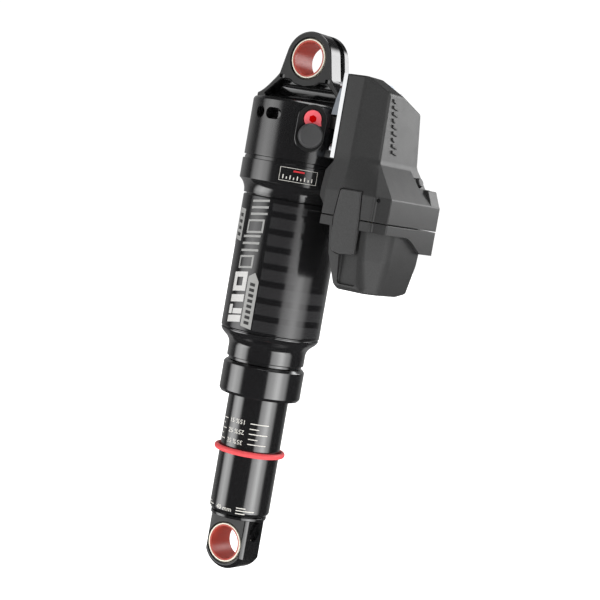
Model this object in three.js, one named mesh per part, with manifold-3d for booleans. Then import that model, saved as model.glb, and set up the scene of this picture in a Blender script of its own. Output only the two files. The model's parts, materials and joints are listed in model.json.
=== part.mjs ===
// Rear shock for a mountain bike: air spring, single-tube damper and a battery-driven lockout module.
// Millimetres, +Z up. The origin is the centre of the upper eye, the shock's axis is Z, the
// lower eye is straight below the upper one and both eye bolts lie along Y. The module is on +X.
import * as THREE from "three";
import { mergeVertices } from "three/addons/utils/BufferGeometryUtils.js";
import Module from "manifold-3d";

const wasm = await Module();
wasm.setup();

// ---------- driving dimensions ----------
const EYE_TO_EYE = 190;              // fully extended length between the eye centres
const GAP = 0.3;                     // clearance between pieces that touch on the real shock
const ROUND = 28;                    // facets on the large turned pieces
const SMALL = 16;                    // facets on small turned pieces

const EYE_HALF_WIDTH = 6.35;         // half of the 12.7 mm eyelet and bushing width
const BUSHING_OUTER = 7.54;          // radius of the 15.08 mm mounting bushing
const BUSHING_INNER = 6.35;          // radius of its half-inch bore
const UPPER_EYE_RADIUS = 10.4;
const LOWER_EYE_RADIUS = 10.2;
const LOWER_EYE_HALF = 9.1;          // half breadth of the lower eyelet's straight cheeks

const HEAD_RADIUS = 21.7;
const HEAD_TOP = -17.2;
const HEAD_BOTTOM = -39.7;
const HEAD_CEILING = -29;            // top of the positive air chamber
const SOCKET_RADIUS = 18.9;          // bore in the head that takes the air can's spigot
const SOCKET_TOP = -32.2;

const BORE = 16.3;                   // air piston bore
const BAND_RADIUS = 21.96;
const BAND_BOTTOM = -48.8;
const BARREL_RADIUS = 18.3;          // the can's barrel under the sleeve
const SLEEVE_RADIUS = 19.3;
const SLEEVE_TOP = -54.5;
const SLEEVE_BOTTOM = -106.4;
const BARREL_BOTTOM = -104.6;
const NECK_RADIUS = 15.1;
const NECK_BOTTOM = -118.6;
const COLLAR_RADIUS = 15.9;
const COLLAR_BOTTOM = -131.5;

const TUBE_RADIUS = 11.74;           // damper body, the sliding gloss black tube
const TUBE_BORE = 9.75;
const TUBE_TOP = -84.3;
const TUBE_BOTTOM = -178;
const ROD_RADIUS = 4.5;
const ROD_BOTTOM = -109.5;
const SAG_RING_Z = -153.2;
const FLOATING_TOP = -150;

const PORT_AZIMUTH = -50.5;          // degrees; the pad with the air valve and the rebound adjuster
const PAD_FACE = 22.1;               // distance of the pad's flat face from the shock's axis
const PAD_RADIUS = 5.6;
const PAD_CENTRE = -26.6;
const PAD_HALF_HEIGHT = 9.1;
const KNOB_Z = -23;
const VALVE_Z = -29.4;
const CAP_RADIUS = 4.65;
const CAP_INNER_FACE = 23.6;
const CAP_OUTER_FACE = 27.6;

const PLATE_INNER = 25.5;            // x of the module plate's two faces
const PLATE_OUTER = 27.2;
const MODULE_HALF_WIDTH = 18.43;
const MODULE_TOP = -4.6;
const PLATE_BOTTOM = -36;
const BLOCK_HALF_WIDTH = 20.7;       // the module's wider lower block
const BLOCK_OUTER = 54.7;
const RIDGE = [49.4, BLOCK_HALF_WIDTH];  // the lower block's upright front ridge
const SEAM = -56.8;
const SKIRT_BOTTOM = -60.5;
const FOOT_BOTTOM = -65.9;
const WALL = 1.8;                    // wall of the module's plastic housings

const LATCH_PIVOT_Y = -19.4;
const LATCH_PIVOT_Z = -48.3;
const LATCH_FACE = -21.2;
const LATCH_TOP = -46.8;
const LATCH_BOTTOM = -70.2;
const SPOOL_Z = -27;                 // axis of the compression spool, which lies along X
const BATTERY_TOP = -58.7;

const rad = THREE.MathUtils.degToRad;
const X_AXIS = new THREE.Vector3(1, 0, 0);
const Y_AXIS = new THREE.Vector3(0, 1, 0);
const Z_AXIS = new THREE.Vector3(0, 0, 1);

// ---------- solids ----------
function toSolid(geometry) {
  const bare = geometry.clone();
  bare.deleteAttribute("normal");
  bare.deleteAttribute("uv");
  const merged = mergeVertices(bare, 1e-4);
  const place = merged.attributes.position.array;
  const index = merged.index.array;
  const corner = (n) => new THREE.Vector3().fromArray(place, 3 * n);
  const triangles = [];
  let volume = 0;
  for (let i = 0; i < index.length; i += 3) {
    const [a, b, c] = [index[i], index[i + 1], index[i + 2]];
    if (a === b || b === c || c === a) continue;
    triangles.push(a, b, c);
    volume += corner(a).dot(corner(b).cross(corner(c)));
  }
  if (volume < 0) triangles.reverse();
  return new wasm.Manifold(new wasm.Mesh({
    numProp: 3,
    vertProperties: Float32Array.from(place),
    triVerts: Uint32Array.from(triangles),
  }));
}

function toGeometry(solid) {
  const mesh = solid.getMesh();
  const geometry = new THREE.BufferGeometry();
  geometry.setAttribute("position", new THREE.BufferAttribute(Float32Array.from(mesh.vertProperties), 3));
  geometry.setIndex(new THREE.BufferAttribute(Uint32Array.from(mesh.triVerts), 1));
  geometry.computeVertexNormals();
  return geometry;
}

// A turned solid about Z from [radius, z] points. A ring's profile is closed here.
function turned(profile, facets = ROUND) {
  const points = profile.map(([r, z]) => new THREE.Vector2(r, z));
  if (profile[0][0] > 0) points.push(points[0].clone());
  return toSolid(new THREE.LatheGeometry(points, facets).rotateX(Math.PI / 2));
}

function ring(inner, outer, top, bottom, facets = ROUND) {
  return turned([[inner, top], [outer, top], [outer, bottom], [inner, bottom]], facets);
}

function rod(radius, top, bottom, facets = SMALL) {
  return turned([[0, top], [radius, top], [radius, bottom], [0, bottom]], facets);
}

// An outline in a plane spanned by two axes, pushed along their cross product.
function pushed(shape, from, to, xAxis, yAxis) {
  const normal = new THREE.Vector3().crossVectors(xAxis, yAxis);
  const basis = new THREE.Matrix4().makeBasis(xAxis, yAxis, normal);
  basis.setPosition(normal.clone().multiplyScalar(from));
  const settings = { depth: to - from, bevelEnabled: false, curveSegments: 12 };
  return toSolid(new THREE.ExtrudeGeometry(shape, settings).applyMatrix4(basis));
}

const outline = (points) => new THREE.Shape(points.map(([a, b]) => new THREE.Vector2(a, b)));

// An XZ outline between two values of y.
function alongY(shape, from, to) {
  return pushed(shape, -to, -from, X_AXIS, Z_AXIS);
}

// A YZ outline between two values of x.
function alongX(shape, from, to) {
  return pushed(shape, from, to, Y_AXIS, Z_AXIS);
}

function block(x0, x1, y0, y1, z0, z1) {
  const box = new THREE.BoxGeometry(x1 - x0, y1 - y0, z1 - z0);
  return toSolid(box.translate((x0 + x1) / 2, (y0 + y1) / 2, (z0 + z1) / 2));
}

// A round bar along a direction: from and to are measured from the given point.
function bar(point, direction, radius, from, to, facets = SMALL) {
  const cylinder = new THREE.CylinderGeometry(radius, radius, to - from, facets);
  cylinder.translate(0, (from + to) / 2, 0);
  const turn = new THREE.Quaternion().setFromUnitVectors(Y_AXIS, direction.clone().normalize());
  cylinder.applyQuaternion(turn);
  return toSolid(cylinder.translate(point.x, point.y, point.z));
}

// Everything on the far side of a plane is removed.
function sliced(solid, point, direction) {
  const size = 200;
  const box = new THREE.BoxGeometry(size, size, size).translate(0, 0, size / 2);
  const turn = new THREE.Quaternion().setFromUnitVectors(Z_AXIS, direction.clone().normalize());
  box.applyQuaternion(turn).translate(point.x, point.y, point.z);
  return solid.subtract(toSolid(box));
}

// A convex body through level polygons, from the lowest section to the highest.
function lofted(sections) {
  const count = sections[0].points.length;
  const places = [];
  for (const { z, points } of sections) points.forEach(([x, y]) => places.push(x, y, z));
  const index = [];
  for (let level = 0; level + 1 < sections.length; level += 1) {
    for (let i = 0; i < count; i += 1) {
      const a = level * count + i;
      const b = level * count + ((i + 1) % count);
      index.push(a, b, b + count, a, b + count, a + count);
    }
  }
  const last = (sections.length - 1) * count;
  for (let i = 1; i + 1 < count; i += 1) index.push(0, i + 1, i, last, last + i, last + i + 1);
  const geometry = new THREE.BufferGeometry();
  geometry.setAttribute("position", new THREE.Float32BufferAttribute(places, 3));
  geometry.setIndex(index);
  return toSolid(geometry);
}

const joined = (...solids) => solids.reduce((whole, solid) => whole.add(solid));
const without = (solid, ...cuts) => cuts.reduce((whole, cut) => whole.subtract(cut), solid);
const at = (x, y, z) => new THREE.Vector3(x, y, z);

// ---------- materials ----------
const finish = (color, roughness, metalness) => ({ color, roughness, metalness });
const FINISH = {
  gloss_black: finish(0x141416, 0.18, 0.85),
  satin_black: finish(0x2b2b2d, 0.45, 0.7),
  polished_alloy: finish(0xd8dade, 0.15, 1),
  brushed_alloy: finish(0x9aa2aa, 0.35, 1),
  steel: finish(0x8a8c90, 0.3, 1),
  red_anodised: finish(0xf0525c, 0.35, 0.3),
  bronze_liner: finish(0xa83a2c, 0.5, 0.2),
  red_rubber: finish(0xf04c50, 0.6, 0),
  black_rubber: finish(0x151515, 0.8, 0),
  housing_plastic: finish(0x3f3f40, 0.6, 0),
  cap_plastic: finish(0x4a4a4b, 0.55, 0),
  board_green: finish(0x1d5a3a, 0.5, 0),
  gold_contact: finish(0xd6a748, 0.3, 1),
  clear_lens: finish(0xd8e0e4, 0.1, 0),
};

const shock = new THREE.Group();

function body(name) {
  const group = new THREE.Group();
  group.userData.body = name;
  shock.add(group);
  return group;
}

function place(group, name, solid, look) {
  const mesh = new THREE.Mesh(toGeometry(solid), new THREE.MeshStandardMaterial(FINISH[look]));
  mesh.name = name;
  group.add(mesh);
}

// ---------- upper eyelet and head ----------
const STRUT_FOOT = 21.5;

function eyeOutline(inset) {
  const radius = UPPER_EYE_RADIUS - inset;
  const side = 12.2 - inset;
  const shoulder = -6.8;
  const tangent = Math.acos(radius / Math.hypot(side, shoulder)) + Math.atan2(shoulder, side);
  const shape = new THREE.Shape();
  shape.absarc(0, 0, radius, tangent, Math.PI - tangent, false);
  shape.lineTo(-side, shoulder);
  return { shape, side, shoulder };
}

function strutWeb() {
  const { shape, side, shoulder } = eyeOutline(0);
  shape.lineTo(-STRUT_FOOT + 0.9, -14.6);
  shape.lineTo(-STRUT_FOOT, -15.6);
  shape.lineTo(-STRUT_FOOT, -19);
  shape.lineTo(STRUT_FOOT, -19);
  shape.lineTo(STRUT_FOOT, -15.6);
  shape.lineTo(STRUT_FOOT - 0.9, -14.6);
  shape.lineTo(side, shoulder);
  return alongY(shape, -EYE_HALF_WIDTH, EYE_HALF_WIDTH);
}

function rimGroove() {
  const front = 0.2;
  const rear = 3.4;
  const { shape, side, shoulder } = eyeOutline(1.5);
  shape.lineTo(side, shoulder);
  const wide = block(-14, 14, front, rear, shoulder, 12);
  return wide.subtract(alongY(shape, front, rear));
}

// The pocket below the eye, between the two struts, sunk from both faces of the web.
function strutPockets() {
  const depth = 4.2;
  const half = [[0, -11.1], [4.5, -10.2], [6.6, -8.9], [10.4, -8.7], [17.2, -15], [17.2, -17.3]];
  const mirrored = half.slice(1).reverse().map(([x, z]) => [-x, z]);
  const shape = outline([...half, ...mirrored]);
  const front = alongY(shape, -EYE_HALF_WIDTH - 1, -EYE_HALF_WIDTH + depth);
  const rear = alongY(shape, EYE_HALF_WIDTH - depth, EYE_HALF_WIDTH + 1);
  return joined(front, rear);
}

const portDirection = at(Math.cos(rad(PORT_AZIMUTH)), Math.sin(rad(PORT_AZIMUTH)), 0);
const portTangent = at(-Math.sin(rad(PORT_AZIMUTH)), Math.cos(rad(PORT_AZIMUTH)), 0);
const portBar = (z, radius, from, to, facets) => bar(at(0, 0, z), portDirection, radius, from, to, facets);

function portPad() {
  const straight = PAD_HALF_HEIGHT - PAD_RADIUS;
  const shape = new THREE.Shape();
  shape.absarc(0, PAD_CENTRE + straight, PAD_RADIUS, 0, Math.PI, false);
  shape.absarc(0, PAD_CENTRE - straight, PAD_RADIUS, Math.PI, 2 * Math.PI, false);
  return pushed(shape, 19.5, PAD_FACE, portTangent, Z_AXIS);
}

function head() {
  const cup = turned([
    [0, -16.6], [20.4, HEAD_TOP], [HEAD_RADIUS, HEAD_TOP - 1.2], [HEAD_RADIUS, HEAD_BOTTOM + 0.3],
    [HEAD_RADIUS - 0.3, HEAD_BOTTOM], [SOCKET_RADIUS, HEAD_BOTTOM], [SOCKET_RADIUS, SOCKET_TOP],
    [BORE + 0.3, SOCKET_TOP], [BORE + 0.3, HEAD_CEILING], [ROD_RADIUS + GAP, HEAD_CEILING],
    [ROD_RADIUS + GAP, -20.5], [0, -20.5],
  ]);
  const round = rod(HEAD_RADIUS, 20, -39, ROUND);
  const web = strutWeb().intersect(round);
  const boss = block(10, PLATE_INNER - GAP, -11.5, 11.5, -36.5, -20.3);
  const hollow = rod(20.2, 0, -60, ROUND);
  const spannerHoles = [-111.8, -93].map((azimuth) => {
    const direction = at(Math.cos(rad(azimuth)), Math.sin(rad(azimuth)), 0);
    return bar(at(0, 0, -23.2), direction, 2.4, 17.4, 30);
  });
  return without(
    joined(cup, web, boss.subtract(hollow), portPad()),
    rimGroove(), strutPockets(), ...spannerHoles,
    bar(at(0, 0, 0), Y_AXIS, BUSHING_OUTER + GAP, -10, 10, 24),
    portBar(KNOB_Z, 1.9, 14, 30),
    portBar(VALVE_Z, 3.0, 14, 30),
    bar(at(0, 0, SPOOL_Z), X_AXIS, 3.3, 12, 30),
    ...boltPlaces.map(({ y, z }) => bar(at(0, y, z), X_AXIS, 1.6 + GAP, 17, 30)),
  );
}

const boltPlaces = [{ y: -7.6, z: -24 }, { y: 7.6, z: -32.5 }];

const upper = body("upper_body");
place(upper, "head", head(), "satin_black");

function bushing(z) {
  const hole = bar(at(0, 0, z), Y_AXIS, BUSHING_INNER, -10, 10, 24);
  return bar(at(0, 0, z), Y_AXIS, BUSHING_OUTER, -EYE_HALF_WIDTH, EYE_HALF_WIDTH, 24).subtract(hole);
}
place(upper, "upper_bushing", bushing(0), "bronze_liner");

// ---------- air can ----------
place(upper, "air_can_body", turned([
  [BORE, SOCKET_TOP - 0.3], [SOCKET_RADIUS - GAP, SOCKET_TOP - 0.3], [SOCKET_RADIUS - GAP, -35],
  [17.6, -35], [17.6, -37], [SOCKET_RADIUS - GAP, -37], [SOCKET_RADIUS - GAP, HEAD_BOTTOM - 0.4],
  [21.3, HEAD_BOTTOM - 0.4], [21.3, -41], [BAND_RADIUS, -41.4], [BAND_RADIUS, BAND_BOTTOM],
  [21.2, -49.9], [20.3, -51.3], [19.7, -52.6], [19.4, -54.1], [BARREL_RADIUS, -54.2],
  [BARREL_RADIUS, -56], [17.5, -56], [17.5, -58], [BARREL_RADIUS, -58], [BARREL_RADIUS, -61],
  [17.2, -62], [17.2, -96], [BARREL_RADIUS, -97], [BARREL_RADIUS, -99], [17.5, -99], [17.5, -101],
  [BARREL_RADIUS, -101], [BARREL_RADIUS, BARREL_BOTTOM], [BORE, BARREL_BOTTOM],
]), "gloss_black");
place(upper, "air_can_sleeve", turned([
  [18.6, SLEEVE_TOP], [18.8, SLEEVE_TOP], [SLEEVE_RADIUS, SLEEVE_TOP - 0.5],
  [SLEEVE_RADIUS, SLEEVE_BOTTOM + 0.5], [18.8, SLEEVE_BOTTOM], [18.6, SLEEVE_BOTTOM],
]), "gloss_black");
place(upper, "sleeve_seal_upper", ring(17.8, 18.3, -56.3, -57.7), "black_rubber");
place(upper, "sleeve_seal_lower", ring(17.8, 18.3, -99.3, -100.7), "black_rubber");
place(upper, "head_seal", ring(17.9, 18.55, -35.3, -36.7), "black_rubber");
place(upper, "air_can_end", turned([
  [BORE + 0.3, -104.9], [18.2, -104.9], [18.2, SLEEVE_BOTTOM - 0.3], [19.2, SLEEVE_BOTTOM - 0.4],
  [18.2, -107.7], [17.0, -109], [16.0, -110.4], [15.3, -112], [NECK_RADIUS, -113.2], [NECK_RADIUS, -117.4],
  [14.4, -117.6], [14.4, NECK_BOTTOM], [13.4, NECK_BOTTOM], [13.4, -110.2], [12.4, -110.2],
  [12.4, -108.2], [BORE + 0.3, -108.2],
]), "gloss_black");
place(upper, "seal_head", turned([
  [12.3, NECK_BOTTOM - 0.3], [15.1, NECK_BOTTOM - 0.3], [COLLAR_RADIUS, -119.8],
  [COLLAR_RADIUS, COLLAR_BOTTOM + 1.1], [15.2, COLLAR_BOTTOM], [14.3, COLLAR_BOTTOM], [14.3, -127.4],
  [12.3, -127.4], [12.3, -125], [13.9, -125], [13.9, -121.6], [12.3, -121.6],
]), "gloss_black");
place(upper, "glide_bush", ring(TUBE_RADIUS + GAP, 13.1, -110.5, -118.3, 24), "bronze_liner");
place(upper, "shaft_seal", ring(TUBE_RADIUS + GAP, 13.6, -121.9, -124.7, 24), "black_rubber");
place(upper, "dust_wiper", turned([
  [12.5, -127.7], [14, -127.7], [14, -131.2], [12.5, -131.2], [12.05, -131.6], [12.05, -130.8],
], 24), "black_rubber");
place(upper, "top_out_bumper", ring(12.5, 16, -103.6, -107.9, 24), "black_rubber");
place(upper, "bottom_out_bumper", ring(9.4, 14.6, HEAD_CEILING - 0.3, -33.2, 24), "black_rubber");

// ---------- damper, the half that stays with the head ----------
place(upper, "damper_rod", rod(ROD_RADIUS, -20.8, -97.2, 24).add(rod(3, -97, ROD_BOTTOM, 16)), "steel");
place(upper, "rebound_shims", ring(3.3, 7.4, -97.5, -98.9, 24), "steel");
place(upper, "damper_piston", turned([
  [3.3, -99.2], [9.3, -99.2], [9.3, -100.4], [8.7, -100.4], [8.7, -103.6], [9.3, -103.6], [9.3, -104.8],
  [3.3, -104.8],
], 24), "brushed_alloy");
place(upper, "piston_band", ring(9, 9.5, -100.7, -103.3, 24), "black_rubber");
place(upper, "compression_shims", ring(3.3, 6.8, -105.1, -106.1, 24), "steel");
place(upper, "piston_nut", rod(5.2, -106.4, -109.3, 6).subtract(rod(3.3, -100, -115)), "steel");

// ---------- damper, the half that slides with the lower eye ----------
const lower = body("lower_body");
place(lower, "damper_body", turned([
  [TUBE_BORE, TUBE_TOP], [TUBE_RADIUS - 0.3, TUBE_TOP], [TUBE_RADIUS, TUBE_TOP - 0.3],
  [TUBE_RADIUS, TUBE_BOTTOM + 1.2], [TUBE_RADIUS - 1, TUBE_BOTTOM], [TUBE_BORE, TUBE_BOTTOM],
]), "gloss_black");
place(lower, "air_piston", turned([
  [ROD_RADIUS + GAP, -78], [15.4, -78], [16, -78.6], [16, -81.4], [14.4, -81.4], [14.4, -85],
  [16, -85], [16, -88.6], [15.4, -89.2], [12.05, -89.2], [12.05, TUBE_TOP + GAP],
  [ROD_RADIUS + GAP, TUBE_TOP + GAP],
]), "brushed_alloy");
place(lower, "air_piston_seal", ring(14.7, 16, -81.7, -84.7), "black_rubber");
place(lower, "rod_guide", turned([
  [ROD_RADIUS + GAP, TUBE_TOP - 0.4], [TUBE_BORE - GAP, TUBE_TOP - 0.4], [TUBE_BORE - GAP, -95],
  [6.9, -95], [6.9, -91], [ROD_RADIUS + GAP, -91],
], 24), "brushed_alloy");
place(lower, "rod_seal", ring(ROD_RADIUS + GAP, 6.6, -91.3, -94.4, 24), "black_rubber");

function lowerEyelet() {
  const eye = -EYE_TO_EYE;
  const shape = new THREE.Shape();
  const cheek = Math.acos(LOWER_EYE_HALF / LOWER_EYE_RADIUS);
  shape.absarc(0, eye, LOWER_EYE_RADIUS, Math.PI + cheek, 2 * Math.PI - cheek, false);
  shape.lineTo(LOWER_EYE_HALF, TUBE_BOTTOM - 0.4);
  shape.lineTo(-LOWER_EYE_HALF, TUBE_BOTTOM - 0.4);
  const cheeks = alongY(shape, -EYE_HALF_WIDTH, EYE_HALF_WIDTH);
  const shoulderDisc = rod(10.9, TUBE_BOTTOM - 0.3, TUBE_BOTTOM - 1.4, ROUND);
  const plug = turned([[3, -168], [8.9, -168], [9.4, -168.5], [9.4, -179], [3, -179]], 24);
  const pocket = new THREE.Shape();
  pocket.absellipse(0, -184.2, 3.6, 4.7, 0, 2 * Math.PI, false);
  const pockets = [-1, 1].map((side) => {
    const [near, far] = [6.4 * side, 12 * side].sort((a, b) => a - b);
    return alongX(pocket, near, far);
  });
  return without(
    joined(cheeks, shoulderDisc, plug.add(rod(3.4, -172, -180))),
    ...pockets,
    bar(at(0, 0, eye), Y_AXIS, BUSHING_OUTER + GAP, -10, 10, 24),
  );
}
place(lower, "lower_eyelet", lowerEyelet(), "satin_black");
place(lower, "lower_bushing", bushing(-EYE_TO_EYE), "bronze_liner");
place(lower, "gas_fill_screw", rod(2.6, -168.4, -171.6, 16), "steel");

// ---------- pieces that move on the damper body ----------
place(body("sag_ring_body"), "sag_ring", turned(
  Array.from({ length: 8 }, (_, i) => {
    const angle = (i / 8) * 2 * Math.PI;
    return [TUBE_RADIUS + 1.24 + 0.94 * Math.cos(angle), SAG_RING_Z + 1.1 * Math.sin(angle)];
  }),
), "red_rubber");
const floating = body("floating_piston_body");
place(floating, "floating_piston", turned([
  [0, FLOATING_TOP - 3], [6.5, FLOATING_TOP - 3], [7.5, FLOATING_TOP], [9.2, FLOATING_TOP],
  [9.2, FLOATING_TOP - 2.4], [8, FLOATING_TOP - 2.4], [8, FLOATING_TOP - 5.2], [9.2, FLOATING_TOP - 5.2],
  [9.2, FLOATING_TOP - 7.5], [0, FLOATING_TOP - 7.5],
], 24), "brushed_alloy");
const floatingSeal = ring(8.3, 9.45, FLOATING_TOP - 2.7, FLOATING_TOP - 4.9, 24);
place(floating, "floating_piston_seal", floatingSeal, "black_rubber");

// ---------- rebound adjuster and air valve on the pad ----------
function reboundKnob() {
  const base = 22.4;
  const top = 23.3;
  const pointer = new THREE.Shape();
  const angle = rad(-31);
  const spread = rad(24);
  const spot = (r, a) => [r * Math.cos(a), KNOB_Z + r * Math.sin(a)];
  pointer.moveTo(...spot(2.4, angle - spread));
  pointer.lineTo(...spot(3.3, angle - spread));
  pointer.lineTo(...spot(4.15, angle));
  pointer.lineTo(...spot(3.3, angle + spread));
  pointer.lineTo(...spot(2.4, angle + spread));
  return without(
    joined(
      portBar(KNOB_Z, 3.25, base, top, 28),
      portBar(KNOB_Z, 1.5, 14.6, base + 0.2, 16),
      pushed(pointer, base, top, portTangent, Z_AXIS),
    ),
    portBar(KNOB_Z, 1.35, base - 1.6, top + 1, 6),
  );
}
place(body("rebound_knob_body"), "rebound_knob", reboundKnob(), "red_anodised");

const stem = joined(
  portBar(VALVE_Z, 2.7, 17.2, 23.8),
  portBar(VALVE_Z, 3.5, CAP_INNER_FACE + 0.1, 26.6),
);
place(upper, "valve_stem", stem.subtract(portBar(VALVE_Z, 1.2, 13, 28)), "brushed_alloy");
place(body("valve_pin_body"), "valve_pin", portBar(VALVE_Z, 0.85, 17, 26.2, 12), "steel");
place(body("valve_cap_body"), "valve_cap", without(
  joined(
    portBar(VALVE_Z, CAP_RADIUS, CAP_INNER_FACE, CAP_OUTER_FACE - 0.8, 28),
    portBar(VALVE_Z, CAP_RADIUS - 0.65, CAP_INNER_FACE, CAP_OUTER_FACE, 28),
  ),
  portBar(VALVE_Z, 3.8, CAP_INNER_FACE - 1, 26.9),
), "cap_plastic");

// ---------- module: plate, bolts and the compression spool ----------
const screwPlaces = [-1, 1].flatMap((side) => [-8.4, -32.6].map((z) => ({ y: 15.6 * side, z })));

function manifoldPlate() {
  const half = MODULE_HALF_WIDTH;
  const plate = block(PLATE_INNER, PLATE_OUTER, -half, half, PLATE_BOTTOM, MODULE_TOP);
  const root = PLATE_INNER + 0.5;
  const gusset = outline([[root, -6.2], [21.6, -9], [20.2, -14], [19.2, -20], [root, -20]]);
  const gussets = [-13, 9.4].map((y) => alongY(gusset, y, y + 3.6));
  return without(
    joined(plate, ...gussets),
    rod(HEAD_RADIUS + 0.5, 0, -60, ROUND),
    bar(at(0, 0, SPOOL_Z), X_AXIS, 3.3, 20, 40),
    ...boltPlaces.map(({ y, z }) => bar(at(0, y, z), X_AXIS, 1.6 + GAP, 20, 40)),
    ...screwPlaces.map(({ y, z }) => bar(at(0, y, z), X_AXIS, 1.1 + GAP, 20, 40)),
  );
}
place(upper, "manifold_plate", manifoldPlate(), "polished_alloy");

function socketScrew(point, direction, shank, headRadius, length, headHeight) {
  return without(
    joined(
      bar(point, direction, shank, -length, 0.2, 12),
      bar(point, direction, headRadius, 0, headHeight, 16),
    ),
    bar(point, direction, headRadius * 0.5, headHeight * 0.4, headHeight + 1, 6),
  );
}
boltPlaces.forEach(({ y, z }, i) => {
  const bolt = socketScrew(at(PLATE_OUTER + GAP, y, z), X_AXIS, 1.6, 2.8, 9.5, 2.6);
  place(upper, `manifold_bolt_${i + 1}`, bolt, "steel");
});
const inward = X_AXIS.clone().negate();
screwPlaces.forEach(({ y, z }, i) => {
  const screw = socketScrew(at(PLATE_INNER - GAP, y, z), inward, 1.1, 2, 5.6, 1.5);
  place(upper, `housing_screw_${i + 1}`, screw, "steel");
});
place(body("compression_spool_body"), "compression_spool", joined(
  bar(at(0, 0, SPOOL_Z), X_AXIS, 3, 18.9, 29.6),
  block(29.2, 31, -2, 2, SPOOL_Z - 0.8, SPOOL_Z + 0.8),
), "steel");

// ---------- module: housings ----------
// A level section, mirrored about the XZ plane: inner face, front face up to x = front,
// the corner point, then the start of the outer face.
const section = ({ z, half, front, corner, outer }, inner) => {
  const side = [[inner, half], [front, half], corner, outer];
  const near = side.map(([x, y]) => [x, -y]);
  return { z, points: [...near, ...side.reverse()] };
};
const LEVELS = {
  top: { z: MODULE_TOP, half: MODULE_HALF_WIDTH, front: 35.2, corner: [42, 11.2], outer: [42, 10.6] },
  crease: { z: -35, half: MODULE_HALF_WIDTH, front: 34.7, corner: [44.4, 13.9], outer: [44.4, 13.3] },
  rim: { z: -47.6, half: BLOCK_HALF_WIDTH, front: 34.4, corner: RIDGE, outer: [BLOCK_OUTER, 18] },
  base: { z: SEAM + 0.15, half: BLOCK_HALF_WIDTH, front: 34.4, corner: RIDGE, outer: [BLOCK_OUTER, 18] },
};
const HOUSING_INNER = PLATE_OUTER + GAP;

function housingBody(levels, inner, shrink) {
  return lofted(levels.map(({ z, half, front, corner, outer }) => section({
    z,
    half: half - shrink,
    front: front - shrink * 0.4,
    corner: [corner[0] - shrink * 0.6, corner[1] - shrink],
    outer: [outer[0] - shrink, outer[1] - shrink * 0.8],
  }, inner)));
}

const latchPivot = at(0, LATCH_PIVOT_Y, LATCH_PIVOT_Z);

function latchOutline(grow) {
  const shape = new THREE.Shape();
  const [left, right] = [34.2 - grow, 43.2 + grow];
  shape.moveTo(left, LATCH_TOP + grow);
  shape.lineTo(33.2 - grow, SEAM);
  shape.lineTo(33.7 - grow, LATCH_BOTTOM + 3);
  shape.quadraticCurveTo(34.6 - grow, LATCH_BOTTOM - grow, 37, LATCH_BOTTOM - grow);
  shape.lineTo(44.6 + grow, LATCH_BOTTOM + 0.6 - grow);
  shape.lineTo(44.2 + grow, SEAM);
  shape.lineTo(right, LATCH_TOP + grow);
  return shape;
}

function latchRecess() {
  return joined(
    alongY(latchOutline(0.4), -30, LATCH_PIVOT_Y + GAP),
    bar(latchPivot, X_AXIS, 2.7, 33.6, 44),
  );
}

const BUTTON_RADIUS = 1.7;
const buttonCentre = at(46.45, 12.9, -39.7);
const buttonDirection = at(6.6, 0, 2.9).normalize();
const lensCentre = at(50.5, -20.14, -48.65);
const lensDirection = at(2.7, -5.3, 0).normalize();

// The swelling of the housing beside the can, below the plate.
function innerCheek() {
  const level = (z, x, side, front) => (
    { z, points: [[x, -side], [HOUSING_INNER + 0.6, -front], [HOUSING_INNER + 0.6, front], [x, side]] }
  );
  return lofted([
    level(-53.8, 27.4, 19.6, BLOCK_HALF_WIDTH),
    level(-50.4, 24.2, 19, BLOCK_HALF_WIDTH),
    level(-47.6, 24.2, 19, BLOCK_HALF_WIDTH),
    level(-40.8, 24.2, 18.1, 19.4),
    level(-36.6, 27.4, 18, 18.7),
  ]);
}

// The seat of the pairing button and the raised ledge behind it.
const buttonSeat = alongY(outline([[44.5, -35], [47.3, -41.6], [60, -41.8], [60, -30], [44.5, -30]]), 8, 30);
const ledge = alongY(outline([[46, -41.7], [52.2, -41.9], [BLOCK_OUTER, -47.6], [46, -47.6]]), 11, 17.6);

function upperHousing() {
  const levels = [LEVELS.base, LEVELS.rim, LEVELS.crease, LEVELS.top];
  const roof = { ...LEVELS.top, z: MODULE_TOP - WALL };
  const floor = { ...LEVELS.base, z: SEAM - 1 };
  let outer = housingBody(levels, HOUSING_INNER, 0);
  let inner = housingBody([floor, ...levels.slice(1, -1), roof], HOUSING_INNER - 2, WALL);
  const topSlopes = [
    { point: at(42, 0, -9.2), direction: at(0.6, 0, 0.8) },
    { point: at(42, -1.7, -9.2), direction: at(0.4, 0.342, 1) },
  ];
  for (const { point, direction } of topSlopes) {
    const under = direction.clone().normalize().multiplyScalar(-WALL).add(point);
    outer = sliced(outer, point, direction);
    inner = sliced(inner, under, direction);
  }
  const screwBosses = screwPlaces.map(({ y, z }) => (
    bar(at(0, y * 0.955, z), X_AXIS, 2.6, HOUSING_INNER, 32.5, 16)
  ));
  const innerWall = block(HOUSING_INNER, HOUSING_INNER + WALL, -30, 30, SEAM, PLATE_BOTTOM - 0.5);
  const shell = outer.subtract(inner);
  const seatBacking = block(40, 56, 6.4, 30, -44.5, -34);
  const bosses = joined(...screwBosses, innerWall, seatBacking).intersect(outer);
  const pinBoss = block(31.4, 46.2, LATCH_PIVOT_Y - 0.6, LATCH_PIVOT_Y + 4.2, -52.2, -44.4);
  return without(
    joined(shell, bosses, pinBoss, innerCheek()).subtract(buttonSeat).add(ledge),
    latchRecess(),
    bar(latchPivot, X_AXIS, 0.8 + GAP, 32.2, 45.4, 12),
    bar(buttonCentre, buttonDirection, BUTTON_RADIUS + GAP, -8, 6),
    bar(lensCentre, lensDirection, 0.6 + GAP, -6, 4, 12),
    ...screwPlaces.map(({ y, z }) => bar(at(0, y, z), X_AXIS, 1.1 + GAP, 26, 31.4, 12)),
  );
}
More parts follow.
